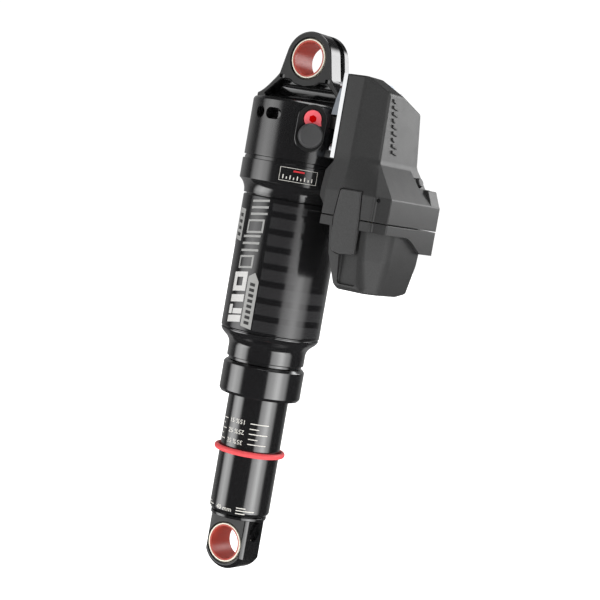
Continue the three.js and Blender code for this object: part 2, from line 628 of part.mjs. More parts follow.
place(upper, "module_upper_housing", upperHousing(), "housing_plastic");

// The battery's own level sections, from its crowned bottom up.
const BATTERY_LEVELS = [
  { z: -83.1, points: [[37.6, -17.2], [49.2, -17.2], [51.4, -11], [51.4, 2.2], [49, 4.2], [37.6, 4.2]] },
  { z: -81.6, points: [[36, -18.2], [48.8, -18.2], [52, -11], [52, 8.4], [50.4, 9.6], [36, 9.6]] },
  { z: -70.5, points: [[32.3, -19.3], [46.3, -19.3], [53, -10.6], [53, 10.6], [51.4, 12.4], [32.3, 12.4]] },
  {
    z: BATTERY_TOP,
    points: [[30.6, -19.5], [45.2, -19.5], [53, -10], [53, 11.8], [51.4, 13.6], [30.6, 13.6]],
  },
];

function battery() {
  const scoop = outline([[36.4, -60], [44.9, -60], [46.2, -81.3], [37.4, -81.3]]);
  return without(
    lofted(BATTERY_LEVELS),
    alongY(latchOutline(0.5), -30, -18.9),
    block(33, 44.9, -30, -18.9, -66, -50),
    alongY(scoop, -30, -17.2),
    block(34, 40, -3, 9, BATTERY_TOP - 0.8, BATTERY_TOP + 1),
  );
}

function lowerHousing() {
  const ends = [{ ...LEVELS.base, z: FOOT_BOTTOM }, { ...LEVELS.base, z: SEAM - 0.15 }];
  const outer = housingBody(ends, HOUSING_INNER, 0);
  const around = [[30, -22], [45.6, -22], [53.4, -10.1], [53.4, 13], [51.7, 14.2], [30, 14.2]];
  const pocket = lofted([-70, BATTERY_TOP + 0.3].map((z) => ({ z, points: around })));
  const wall = block(20, 60, -BLOCK_HALF_WIDTH - 1, -19.8, -70, -50);
  const clear = outline([
    [-30, SKIRT_BOTTOM], [-1, SKIRT_BOTTOM], [8.6, FOOT_BOTTOM], [8.6, -70], [-30, -70],
  ]);
  return without(
    outer.subtract(pocket.subtract(wall)),
    alongX(clear, 20, 60),
    block(20, 29.2, -30, 30, -70, SKIRT_BOTTOM),
    latchRecess(),
    block(33.4, 40.6, -3.6, 9.6, -60, -50),
  );
}
place(upper, "module_lower_housing", lowerHousing(), "housing_plastic");
place(upper, "battery_contacts", joined(
  block(34, 40, -3, 9, -58.2, -56),
  ...[-1, 3, 7].map((y) => block(36, 38, y - 0.8, y + 0.8, -58.9, -58)),
), "gold_contact");
place(body("battery_body"), "battery", battery(), "housing_plastic");

// ---------- module: latch, button, lens and the electronics ----------
place(body("battery_latch_body"), "battery_latch", without(
  joined(
    alongY(latchOutline(0), LATCH_FACE, LATCH_PIVOT_Y),
    bar(latchPivot, X_AXIS, 1.75, 34.4, 43),
  ),
  bar(latchPivot, X_AXIS, 0.8 + GAP, 30, 50, 12),
), "housing_plastic");
place(upper, "latch_pin", bar(latchPivot, X_AXIS, 0.8, 32.5, 45.1, 12), "steel");
const button = bar(buttonCentre, buttonDirection, BUTTON_RADIUS, -2.8, 1.2);
place(body("pairing_button_body"), "pairing_button", button, "cap_plastic");
place(upper, "status_lens", bar(lensCentre, lensDirection, 0.6, -1.7, -0.05, 12), "clear_lens");
place(upper, "drive_motor", joined(
  bar(at(0, 0, SPOOL_Z), X_AXIS, 6.2, 32, 41, 28),
  bar(at(0, 0, SPOOL_Z), X_AXIS, 1.2, 31.3, 33, 12),
), "steel");
place(upper, "circuit_board", joined(
  block(29.6, 50, -15, 15, -54.4, -52.8),
  block(33, 40, -3, 6, -53, -50.6),
  block(43, 48, -11, -6, -53, -51.2),
), "board_green");

export default shock;
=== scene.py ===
import json
import math

import bmesh
import bpy
from mathutils import Matrix, Vector


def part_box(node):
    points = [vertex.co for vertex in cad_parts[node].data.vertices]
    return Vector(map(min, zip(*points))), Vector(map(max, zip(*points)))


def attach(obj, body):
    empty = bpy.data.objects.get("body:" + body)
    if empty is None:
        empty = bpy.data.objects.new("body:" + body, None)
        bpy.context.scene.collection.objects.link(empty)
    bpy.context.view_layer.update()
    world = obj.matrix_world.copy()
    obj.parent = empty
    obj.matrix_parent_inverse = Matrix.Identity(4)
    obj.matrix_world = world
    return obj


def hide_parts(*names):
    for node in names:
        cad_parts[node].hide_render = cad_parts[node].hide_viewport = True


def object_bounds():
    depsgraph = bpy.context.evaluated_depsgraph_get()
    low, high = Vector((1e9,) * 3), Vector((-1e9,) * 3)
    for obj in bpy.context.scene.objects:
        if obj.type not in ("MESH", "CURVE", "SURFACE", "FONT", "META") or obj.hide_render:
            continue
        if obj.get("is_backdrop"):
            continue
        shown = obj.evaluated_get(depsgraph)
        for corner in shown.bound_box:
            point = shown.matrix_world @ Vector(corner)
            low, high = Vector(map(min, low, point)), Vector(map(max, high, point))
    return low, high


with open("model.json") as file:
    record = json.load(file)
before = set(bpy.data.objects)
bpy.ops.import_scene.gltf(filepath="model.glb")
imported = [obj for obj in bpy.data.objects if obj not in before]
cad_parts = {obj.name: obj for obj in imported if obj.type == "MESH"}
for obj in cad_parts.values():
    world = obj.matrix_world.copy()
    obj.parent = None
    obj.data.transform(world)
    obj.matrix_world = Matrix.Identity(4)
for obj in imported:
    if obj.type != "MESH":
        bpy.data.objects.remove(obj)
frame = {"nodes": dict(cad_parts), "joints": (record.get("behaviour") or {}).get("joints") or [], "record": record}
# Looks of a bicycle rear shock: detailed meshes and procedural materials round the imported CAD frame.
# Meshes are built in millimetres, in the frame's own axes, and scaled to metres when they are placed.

cad_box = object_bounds()
MM = 0.001
X, Y, Z = Vector((1, 0, 0)), Vector((0, 1, 0)), Vector((0, 0, 1))
ORIGIN = Vector((0, 0, 0))


# ---------- measures from the frame, in millimetres ----------
def low(node):
    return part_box(node)[0] / MM


def high(node):
    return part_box(node)[1] / MM


def middle(node):
    return (low(node) + high(node)) / 2


joints = {joint["name"]: joint for joint in frame["joints"]}
EYE_HALF = high("upper_bushing").y                     # half width of both eyelets
BUSHING_R = high("upper_bushing").z
LOWER_EYE_Z = middle("lower_bushing").z
HEAD_R = high("air_can_sleeve").x + 2.4
HEAD_BOTTOM = low("head").z
HEAD_TOP = -17.2
SLEEVE_R = high("air_can_sleeve").x
SLEEVE_TOP, SLEEVE_BOTTOM = high("air_can_sleeve").z, low("air_can_sleeve").z
BAND_R = high("air_can_body").x
TUBE_R = high("damper_body").x
TUBE_TOP, TUBE_BOTTOM = high("damper_body").z, low("damper_body").z
COLLAR_R = high("seal_head").x
COLLAR_TOP, COLLAR_BOTTOM = high("seal_head").z, low("seal_head").z
NECK_BOTTOM = low("air_can_end").z
PORT = Vector(joints["rebound_turn"]["axis"]).normalized()   # outward normal of the valve pad
PORT_SIDE = Z.cross(PORT)
KNOB_Z = joints["rebound_turn"]["pos_m"][2] / MM
VALVE_Z = middle("valve_cap").z
CAP_R = high("valve_cap").z - VALVE_Z
PLATE_INNER_FACE = 25.5
SPOOL_Z = joints["compression_spool_turn"]["pos_m"][2] / MM
LATCH_PIVOT = Vector((0, *joints["battery_latch_turn"]["pos_m"][1:])) / MM
BUTTON_AXIS = -Vector(joints["pairing_button_press"]["axis"]).normalized()
BUTTON_R = (high("pairing_button").y - low("pairing_button").y) / 2
SEAM_Z = (low("module_upper_housing").z + high("module_lower_housing").z) / 2


# ---------- mesh building ----------
def linked(name, mesh):
    piece = bpy.data.objects.new(name, mesh)
    bpy.context.scene.collection.objects.link(piece)
    return piece


def mesh_piece(name, build):
    """A new object from a function that fills a bmesh, in millimetres."""
    form = bmesh.new()
    build(form)
    bmesh.ops.recalc_face_normals(form, faces=form.faces)
    mesh = bpy.data.meshes.new(name)
    form.to_mesh(mesh)
    form.free()
    return linked(name, mesh)


def edited(piece, change):
    """Runs change(form) on a bmesh of the piece and writes the result back."""
    form = bmesh.new()
    form.from_mesh(piece.data)
    change(form)
    form.to_mesh(piece.data)
    form.free()
    return piece


def whole(form):
    return form.verts[:] + form.edges[:] + form.faces[:]


def rounded(points, closed, steps=5):
    """Points (a, b) or (a, b, fillet) with each fillet turned into a short curve."""
    result = []
    count = len(points)
    for i, point in enumerate(points):
        here = Vector(point[:2])
        fillet = point[2] if len(point) > 2 else 0
        ends = i in (0, count - 1) and not closed
        if not fillet or ends:
            result.append(here)
            continue
        before = Vector(points[i - 1][:2])
        after = Vector(points[(i + 1) % count][:2])
        back, ahead = before - here, after - here
        reach = min(fillet, back.length * 0.49, ahead.length * 0.49)
        start, end = here + back.normalized() * reach, here + ahead.normalized() * reach
        for step in range(steps + 1):
            t = step / steps
            result.append(start * (1 - t) ** 2 + here * (2 * t * (1 - t)) + end * t * t)
    return result


def bezier(p0, p1, p2, p3, steps=12):
    p0, p1, p2, p3 = (Vector(p) for p in (p0, p1, p2, p3))
    curve = []
    for step in range(steps + 1):
        t = step / steps
        s = 1 - t
        curve.append(tuple(p0 * s ** 3 + p1 * (3 * s * s * t) + p2 * (3 * s * t * t) + p3 * t ** 3))
    return curve


def turned(name, profile, facets=144, axis=Z, centre=ORIGIN):
    """A body of revolution. Profile points are (radius, height, fillet), closed on itself or on the axis."""
    on_axis = profile[0][0] == 0
    outline = rounded(profile, closed=not on_axis)
    turn = Z.rotation_difference(axis)

    def build(form):
        rings = []
        for radius, height in outline:
            if radius < 1e-6:
                rings.append([form.verts.new(centre + turn @ Vector((0, 0, height)))])
                continue
            spots = []
            for i in range(facets):
                angle = 2 * math.pi * i / facets
                spot = Vector((radius * math.cos(angle), radius * math.sin(angle), height))
                spots.append(form.verts.new(centre + turn @ spot))
            rings.append(spots)
        pairs = list(zip(rings, rings[1:])) + ([] if on_axis else [(rings[-1], rings[0])])
        for first, second in pairs:
            for i in range(facets):
                j = (i + 1) % facets
                near = [first[i], first[j]] if len(first) > 1 else [first[0]]
                far = [second[j], second[i]] if len(second) > 1 else [second[0]]
                form.faces.new(near + far)

    return mesh_piece(name, build)


def pushed(name, outline, start, end, across=X, up=Z):
    """A flat outline in the plane of two axes, pushed along their cross product."""
    normal = across.cross(up)

    def build(form):
        near = [form.verts.new(across * a + up * b + normal * start) for a, b in outline]
        far = [form.verts.new(across * a + up * b + normal * end) for a, b in outline]
        form.faces.new(near)
        form.faces.new(list(reversed(far)))
        for i in range(len(outline)):
            j = (i + 1) % len(outline)
            form.faces.new([near[i], near[j], far[j], far[i]])

    return mesh_piece(name, build)


def along_y(name, outline, start, end):
    return pushed(name, outline, -end, -start)


def block(name, x0, x1, y0, y1, z0, z1):
    return along_y(name, [(x0, z0), (x1, z0), (x1, z1), (x0, z1)], y0, y1)


def bar(name, point, axis, radius, start, end, facets=64, chamfer=0.0):
    ends = [(0, start), (radius, start, chamfer), (radius, end, chamfer), (0, end)]
    return turned(name, ends, facets, axis, point)


def arc(centre, radius, start, end, steps):
    """Points of an arc in degrees."""
    angles = [math.radians(start + (end - start) * i / steps) for i in range(steps + 1)]
    return [(centre[0] + radius * math.cos(a), centre[1] + radius * math.sin(a)) for a in angles]


def hexagon(radius, z, phase, across=0.0):
    """A hexagon's corners, the first one at phase degrees."""
    turns = [math.radians(phase + 60 * i) for i in range(6)]
    return [(across + radius * math.cos(turn), z + radius * math.sin(turn)) for turn in turns]


def capsule(z, half_straight, radius, steps, upright):
    """A slot's outline with round ends, level or upright."""
    first, second = (0, 180) if upright else (-90, 90)
    shift = (0, half_straight) if upright else (half_straight, 0)
    head = arc((shift[0], z + shift[1]), radius, first, first + 180, steps)
    return head + arc((-shift[0], z - shift[1]), radius, second, second + 180, steps)


def ellipse(centre, across, up, steps):
    angles = [2 * math.pi * i / steps for i in range(steps)]
    return [(centre[0] + across * math.cos(a), centre[1] + up * math.sin(a)) for a in angles]


def eye_bore(recess, z):
    """The hole for a bushing, a little wider than it, with a wider recess at both faces."""
    fit, past = 7.84, 9
    outline = [(0, -past), (recess, -past), (recess, -6.5), (fit, -6.0)]
    outline += [(r, -height) for r, height in reversed(outline)]
    return turned("bore", outline, 128, Y, Vector((0, 0, z)))


def settle(piece):
    """Applies the modifiers."""
    graph = bpy.context.evaluated_depsgraph_get()
    mesh = bpy.data.meshes.new_from_object(piece.evaluated_get(graph))
    piece.modifiers.clear()
    piece.data = mesh
    return piece


def bevelled(piece, width, segments=3, angle=30):
    bevel = piece.modifiers.new("bevel", "BEVEL")
    bevel.width = width
    bevel.segments = segments
    bevel.limit_method = "ANGLE"
    bevel.angle_limit = math.radians(angle)
    bevel.miter_outer = "MITER_ARC"
    bevel.use_clamp_overlap = True
    return settle(piece)


def combined(piece, operation, tools):
    for tool in tools:
        change = piece.modifiers.new("combine", "BOOLEAN")
        change.operation = operation
        change.solver = "EXACT"
        change.object = tool
        settle(piece)
        bpy.data.objects.remove(tool)
    return piece


def cut(piece, *tools):
    return combined(piece, "DIFFERENCE", tools)


def joined(piece, *tools):
    return combined(piece, "UNION", tools)


def cleaned(piece, distance=0.003, flat=0.05):
    """Merges points that coincide and makes flat faces whole."""
    def change(form):
        bmesh.ops.remove_doubles(form, verts=form.verts, dist=distance)
        bmesh.ops.dissolve_degenerate(form, edges=form.edges, dist=distance)
        limit = math.radians(flat)
        bmesh.ops.dissolve_limit(form, angle_limit=limit, verts=form.verts, edges=form.edges)

    return edited(piece, change)


def smooth(piece, angle=32):
    """Smooth shading with hard edges above an angle, and weighted normals."""
    limit = math.radians(angle)

    def change(form):
        for face in form.faces:
            face.smooth = True
        for edge in form.edges:
            edge.smooth = len(edge.link_faces) == 2 and edge.calc_face_angle(0) < limit

    edited(piece, change)
    normals = piece.modifiers.new("normals", "WEIGHTED_NORMAL")
    normals.keep_sharp = True
    return piece


def placed(piece, body, slot, look, *stands_for):
    """Scales a piece to metres, gives it its look or list of looks, and ties it to its body and CAD nodes."""
    piece.data.transform(Matrix.Scale(MM, 4))
    for each in look if isinstance(look, list) else [look]:
        piece.data.materials.append(each.material)
    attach(piece, body)
    if stands_for:
        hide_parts(*stands_for)
    return piece


def lathe(name, profile, facets, angle, body, slot, look, *stands_for, axis=Z, centre=ORIGIN):
    """A body of revolution, smoothed and placed."""
    placed(smooth(turned(name, profile, facets, axis, centre), angle), body, slot, look, *stands_for)


def paint(piece, number, choose):
    """Gives material number to the faces for which choose(centre, normal) is true, in millimetres."""
    for face in piece.data.polygons:
        if choose(face.center, face.normal):
            face.material_index = number


def from_node(name, node, flat=1.0):
    """A copy of a CAD node's mesh in millimetres, with its flat faces made whole."""
    mesh = frame["nodes"][node].data.copy()
    mesh.transform(Matrix.Scale(1 / MM, 4))
    mesh.materials.clear()
    piece = linked(name, mesh)
    for attribute in [a for a in mesh.attributes if a.name in ("custom_normal", "sharp_face")]:
        mesh.attributes.remove(attribute)
    return cleaned(piece, 0.01, flat)


# ---------- materials ----------
def shade(color, factor):
    return tuple(channel * factor for channel in color)


def computed(tree, operation, first, second):
    """The output of a math node. Each of its two inputs is another node's output or a number."""
    made = tree.nodes.new("ShaderNodeMath")
    made.operation = operation
    for socket, value in zip(made.inputs, (first, second)):
        if isinstance(value, (int, float)):
            socket.default_value = value
        else:
            tree.links.new(value, socket)
    return made.outputs[0]


class Look:
    """A procedural material: a principled shader and small helpers that chain nodes onto it."""

    def __init__(self, name, color, roughness, metallic=0.0, ior=1.5, coat=0.0):
        self.material = bpy.data.materials.new(name)
        self.material.use_nodes = True
        self.tree = self.material.node_tree
        self.shader = self.tree.nodes["Principled BSDF"]
        self.set("Base Color", (*color, 1))
        self.set("Roughness", roughness)
        self.set("Metallic", metallic)
        self.set("IOR", ior)
        self.set("Coat Weight", coat)
        self.place = self.node("ShaderNodeTexCoord").outputs["Object"]

    def set(self, socket, value):
        self.shader.inputs[socket].default_value = value

    def node(self, kind, **settings):
        made = self.tree.nodes.new(kind)
        for key, value in settings.items():
            setattr(made, key, value)
        return made

    def link(self, source, target):
        self.tree.links.new(source, target)

    def math(self, operation, first, second=0.0):
        return computed(self.tree, operation, first, second)

    def stretched(self, scale):
        mapping = self.node("ShaderNodeMapping")
        mapping.inputs["Scale"].default_value = scale
        self.link(self.place, mapping.inputs["Vector"])
        return mapping.outputs[0]

    def noise(self, size_mm, detail=3.0, stretch=(1, 1, 1), rough=0.55):
        made = self.node("ShaderNodeTexNoise")
        made.inputs["Scale"].default_value = 1 / (size_mm * MM)
        made.inputs["Detail"].default_value = detail
        made.inputs["Roughness"].default_value = rough
        self.link(self.stretched(stretch), made.inputs["Vector"])
        return made.outputs["Fac"]

    def ranged(self, value, to_low, to_high, from_low=0.3, from_high=0.7):
        made = self.node("ShaderNodeMapRange")
        self.link(value, made.inputs["Value"])
        for key, number in zip(("From Min", "From Max", "To Min", "To Max"),
                               (from_low, from_high, to_low, to_high)):
            made.inputs[key].default_value = number
        return made.outputs[0]

    def mixed(self, factor, first, second):
        made = self.node("ShaderNodeMix", data_type="RGBA")
        self.link(factor, made.inputs["Factor"])
        for socket, value in ((made.inputs[6], first), (made.inputs[7], second)):
            if isinstance(value, tuple):
                socket.default_value = (*value, 1)
            else:
                self.link(value, socket)
        return made.outputs[2]

    def mottled(self, pattern, first, second, from_low=0.3, from_high=0.7):
        """Colour that runs from first to second with a pattern."""
        return self.color(self.mixed(self.ranged(pattern, 0, 1, from_low, from_high), first, second))

    def roughness(self, value, to_low, to_high):
        self.link(self.ranged(value, to_low, to_high), self.shader.inputs["Roughness"])
        return self

    def color(self, output):
        self.link(output, self.shader.inputs["Base Color"])
        return self

    def bump(self, height, strength, distance_mm):
        made = self.node("ShaderNodeBump")
        made.inputs["Strength"].default_value = strength
        made.inputs["Distance"].default_value = distance_mm * MM
        self.link(height, made.inputs["Height"])
        if self.shader.inputs["Normal"].is_linked:
            self.link(self.shader.inputs["Normal"].links[0].from_socket, made.inputs["Normal"])
        self.link(made.outputs[0], self.shader.inputs["Normal"])
        return self


def anodised(name, color, roughness, lathe_marks=True, ior=1.62):
    """Black anodised alloy: fine turning marks, a trace of dust and slight clouding."""
    look = Look(name, color, roughness, ior=ior)
    clouds = look.noise(9, 4)
    look.roughness(clouds, roughness * 0.85, roughness * 1.2)
    dust = look.noise(0.6, 6, rough=0.7)
    dusty = tuple(channel * 1.9 + 0.004 for channel in color)
    look.color(look.mixed(look.ranged(dust, 0, 0.5, 0.5, 0.8), color, dusty))
    if lathe_marks:
        look.bump(look.noise(0.5, 2, stretch=(0.02, 0.02, 3)), 0.12, 0.004)
    else:
        look.bump(look.noise(0.35, 3), 0.15, 0.006)
    return look


def satin_metal(name, color, roughness, metallic=0.0, ior=1.55):
    look = Look(name, color, roughness, metallic, ior)
    look.roughness(look.noise(4, 5), roughness * 0.85, roughness * 1.15)
    look.mottled(look.noise(0.25, 4), shade(color, 0.88), shade(color, 1.12))
    look.bump(look.noise(0.18, 3), 0.25, 0.01)
    return look


def alloy(name, color, roughness, stretch, scale_mm=0.3, depth=0.25):
    """Bare alloy with fine straight brushing along one direction."""
    look = Look(name, color, roughness, 1.0)
    lines = look.noise(scale_mm, 3, stretch=stretch)
    look.roughness(lines, roughness * 0.7, roughness * 1.4)
    look.mottled(look.noise(6, 3), shade(color, 0.93), color)
    look.bump(lines, depth, 0.003)
    return look


def moulded(name, color, roughness, grain_mm=0.28, depth=0.5):
    """Spark-eroded moulded plastic: pebbled grain and slight mottling."""
    look = Look(name, color, roughness, ior=1.44)
    cells = look.node("ShaderNodeTexVoronoi", feature="SMOOTH_F1")
    cells.inputs["Scale"].default_value = 1 / (grain_mm * MM)
    look.link(look.place, cells.inputs["Vector"])
    look.mottled(look.noise(grain_mm * 1.6, 4, rough=0.7), shade(color, 0.8), shade(color, 1.22))
    look.roughness(look.noise(5, 3), roughness * 0.92, roughness * 1.08)
    look.bump(cells.outputs["Distance"], depth, 0.03)
    look.bump(look.noise(grain_mm * 0.5, 2), depth * 0.6, 0.02)
    return look


def rubber(name, color, roughness=0.6):
    look = Look(name, color, roughness, ior=1.5)
    look.roughness(look.noise(1.2, 4), roughness * 0.8, min(1, roughness * 1.25))
    look.mottled(look.noise(0.4, 5), shade(color, 0.85), color)
    look.bump(look.noise(0.12, 4), 0.3, 0.01)
    return look


GLOSS = anodised("gloss_black", (0.0065, 0.0065, 0.007), 0.13, ior=2.2)
GLOSS_PLAIN = anodised("gloss_black_milled", (0.0065, 0.0065, 0.007), 0.16, lathe_marks=False, ior=2.1)
SATIN = satin_metal("satin_black_face", (0.008, 0.008, 0.008), 0.34, ior=1.57)
SATIN_DARK = satin_metal("satin_black_dark", (0.012, 0.012, 0.012), 0.32, ior=1.5)
HOUSING = moulded("housing_plastic", (0.034, 0.034, 0.034), 0.36)
LATCH_PLASTIC = moulded("latch_plastic", (0.046, 0.046, 0.046), 0.4)
HOUSING_SMOOTH = moulded("cap_plastic", (0.055, 0.055, 0.056), 0.4, 0.14, 0.25)
POLISHED = alloy("polished_alloy", (0.9, 0.905, 0.915), 0.1, (1, 1, 0.04), depth=0.08)
BRUSHED = alloy("brushed_alloy", (0.3, 0.325, 0.36), 0.36, (1, 0.05, 1))
MACHINED = alloy("machined_alloy", (0.68, 0.69, 0.7), 0.24, (0.03, 0.03, 2))
STEEL = alloy("hardened_steel", (0.36, 0.36, 0.37), 0.3, (0.3, 0.3, 0.3), 0.5)
BUSH_EDGE = satin_metal("bushing_edge", (0.92, 0.86, 0.72), 0.4, 0.25)
RED_RUBBER = rubber("red_rubber", (0.86, 0.085, 0.095), 0.42)
BLACK_RUBBER = rubber("black_rubber", (0.012, 0.012, 0.012), 0.55)


def bushing_liner():
    look = Look("bushing_liner", (0.42, 0.065, 0.035), 0.3, ior=1.6)
    weave = look.noise(0.35, 5, rough=0.65)
    look.mottled(weave, (0.43, 0.05, 0.03), (0.49, 0.062, 0.037))
    look.roughness(look.noise(1.5, 3), 0.36, 0.44)
    look.bump(weave, 0.02, 0.003)
    return look


def red_anodised(name, color, roughness, ior=1.5):
    look = Look(name, color, roughness, 0, ior)
    look.roughness(look.noise(2, 4), roughness * 0.8, roughness * 1.2)
    look.mottled(look.noise(0.3, 4), shade(color, 0.92), color)
    look.bump(look.noise(0.2, 3), 0.12, 0.006)
    return look


def print_ink(name, color):
    """Thin pad-printed ink with slightly uneven cover."""
    look = Look(name, color, 0.38, ior=1.5)
    cover = look.noise(0.25, 5, rough=0.7)
    look.mottled(cover, shade(color, 0.8), color, 0.25, 0.55)
    look.bump(cover, 0.1, 0.006)
    return look


LINER = bushing_liner()
RED = red_anodised("red_anodised", (1.0, 0.14, 0.17), 0.4)
# a darker, more saturated copy of the red anodising for the dial's hex socket: painted shade in the recess
RED_SOCKET_SHADE = red_anodised("red_anodised_socket_shade", (0.9, 0.0, 0.0), 0.5, 1.1)
INK_LIGHT = print_ink("ink_light", (0.62, 0.615, 0.6))
INK_MID = print_ink("ink_mid", (0.34, 0.34, 0.33))
INK_DARK = print_ink("ink_dark", (0.02, 0.02, 0.02))
INK_CREAM = print_ink("ink_cream", (0.8, 0.78, 0.72))
INK_RED = print_ink("ink_red", (0.7, 0.02, 0.03))


def sleeve_graphic():
    """The gloss sleeve's own faint pattern: satin bands across one third of the girth, left out where the module's
    dark reflection lies, which paints that reflection.
    """
    look = Look("sleeve_gloss", (0.0065, 0.0065, 0.007), 0.13, ior=1.8)
    parts = look.node("ShaderNodeSeparateXYZ")
    look.link(look.place, parts.inputs[0])
    azimuth = look.math("ARCTAN2", parts.outputs[1], parts.outputs[0])
    height = parts.outputs[2]

    def between(value, start, end):
        above = look.math("GREATER_THAN", value, start)
        below = look.math("LESS_THAN", value, end)
        return look.math("MULTIPLY", above, below)

    panel = between(azimuth, math.radians(-77), math.radians(26))
    phase = look.math("FRACT", look.math("DIVIDE", look.math("SUBTRACT", height, -94.6 * MM), 6.6 * MM))
    band = look.math("GREATER_THAN", phase, 2.3 / 6.6)
    zone = between(height, (SLEEVE_BOTTOM + 1) * MM, (SLEEVE_TOP - 2) * MM)
    mask = look.math("MULTIPLY", look.math("MULTIPLY", panel, band), zone)
    # painted reflection: no bands where the module's dark reflection lies, so the plain dark base shows there
    module_reflection = look.math("MULTIPLY", between(azimuth, math.radians(-37), math.radians(26)),
                     between(height, -85.6 * MM, SLEEVE_TOP * MM))
    mask = look.math("MULTIPLY", mask, look.math("SUBTRACT", 1, module_reflection))
    look.color(look.mixed(mask, (0.006, 0.006, 0.0065), (0.021, 0.021, 0.022)))
    clouds = look.ranged(look.noise(9, 4), 0.12, 0.16)
    look.link(look.math("ADD", clouds, look.math("MULTIPLY", mask, 0.1)), look.shader.inputs["Roughness"])
    look.bump(look.noise(0.5, 2, stretch=(0.02, 0.02, 3)), 0.1, 0.004)
    return look


SLEEVE = sleeve_graphic()
CARRIED = {
    "satin_black_anodised": SATIN_DARK, "gloss_black_anodised": GLOSS, "bushing_liner": LINER,
    "polished_alloy": POLISHED, "machined_alloy": MACHINED, "hardened_steel": STEEL,
    "red_anodised": RED, "red_rubber": RED_RUBBER, "black_rubber": BLACK_RUBBER,
    "housing_plastic": HOUSING, "cap_plastic": HOUSING_SMOOTH,
}


def circuit_board_look():
    look = Look("circuit_board", (0.01, 0.11, 0.045), 0.35)
    traces = look.noise(1.4, 1, stretch=(1, 0.2, 1))
    look.mottled(traces, (0.008, 0.09, 0.035), (0.02, 0.16, 0.07), 0.5, 0.52)
    look.bump(traces, 0.2, 0.03)
    return look


CARRIED["circuit_board"] = circuit_board_look()
CARRIED["contact_metal"] = alloy("contact_metal", (0.9, 0.62, 0.24), 0.22, (1, 1, 1))
CARRIED["clear_lens"] = GLOSS_PLAIN
for entry in frame["record"]["subparts"]:
    holder = frame["nodes"][entry["node"]].data
    holder.materials.clear()
    holder.materials.append(CARRIED[entry["material_slot"]].material)


# ---------- upper eyelet and head ----------
EYE_R = high("head").z
STRUT_SIDE, STRUT_SHOULDER, STRUT_FOOT = 12.2, -6.8, 21.5


def eye_outline(inset, foot):
    """The eye's round top with its two tangent flanks, then the given lower points on the right."""
    radius, side = EYE_R - inset, STRUT_SIDE - inset
    tangent = math.degrees(math.acos(radius / math.hypot(side, STRUT_SHOULDER))
                           + math.atan2(STRUT_SHOULDER, side))
    top = arc((0, 0), radius, tangent, 180 - tangent, 64)
    left = [(-x, z) for x, z in foot]
    return top + left + list(reversed(foot))


def grown(outline, distance):
    """A closed outline with every point moved outwards along its own normal."""
    result = []
    for before, here, after in zip(outline[-1:] + outline[:-1], outline, outline[1:] + outline[:1]):
        along = (Vector(after) - Vector(before)).normalized()
        result.append((here[0] + along.y * distance, here[1] - along.x * distance))
    area = sum(a[0] * b[1] - b[0] * a[1] for a, b in zip(outline, outline[1:] + outline[:1]))
    return result if area > 0 else grown(outline[::-1], distance)


def lofted(name, sections):
    """A solid through sections (y, outline in XZ) with the same number of points each."""
    def build(form):
        rows = [[form.verts.new((x, y, z)) for x, z in outline] for y, outline in sections]
        for first, second in zip(rows, rows[1:]):
            for i in range(len(first)):
                j = (i + 1) % len(first)
                form.faces.new([first[i], first[j], second[j], second[i]])
        form.faces.new(rows[0])
        form.faces.new(rows[-1][::-1])

    return mesh_piece(name, build)


def strut_pockets(outline):
    """The two pockets below the eye: a hollow wall under the eye and a lit chamfer round the rim."""
    tools = []
    for side in (-1, 1):
        depth = [(8, -7), (2.4, -7), (2.4, -10.3)]
        depth += bezier((2.3, -10.4), (0.7, -11.2), (0.7, -13.6), (2.2, -15), 8)
        depth += [(2.2, -19), (8, -19)]
        wall = pushed("wall", [(y * side, z) for y, z in depth], -18, 18, Y, Z)
        start, end = sorted((8 * side, 0.4 * side))
        tools.append(combined(along_y("pocket", outline, start, end), "INTERSECT", [wall]))
        rim = [((EYE_HALF + 0.2) * side, grown(outline, 0.6)), ((EYE_HALF - 0.4) * side, grown(outline, 0))]
        tools.append(lofted("chamfer", rim))
    return tools


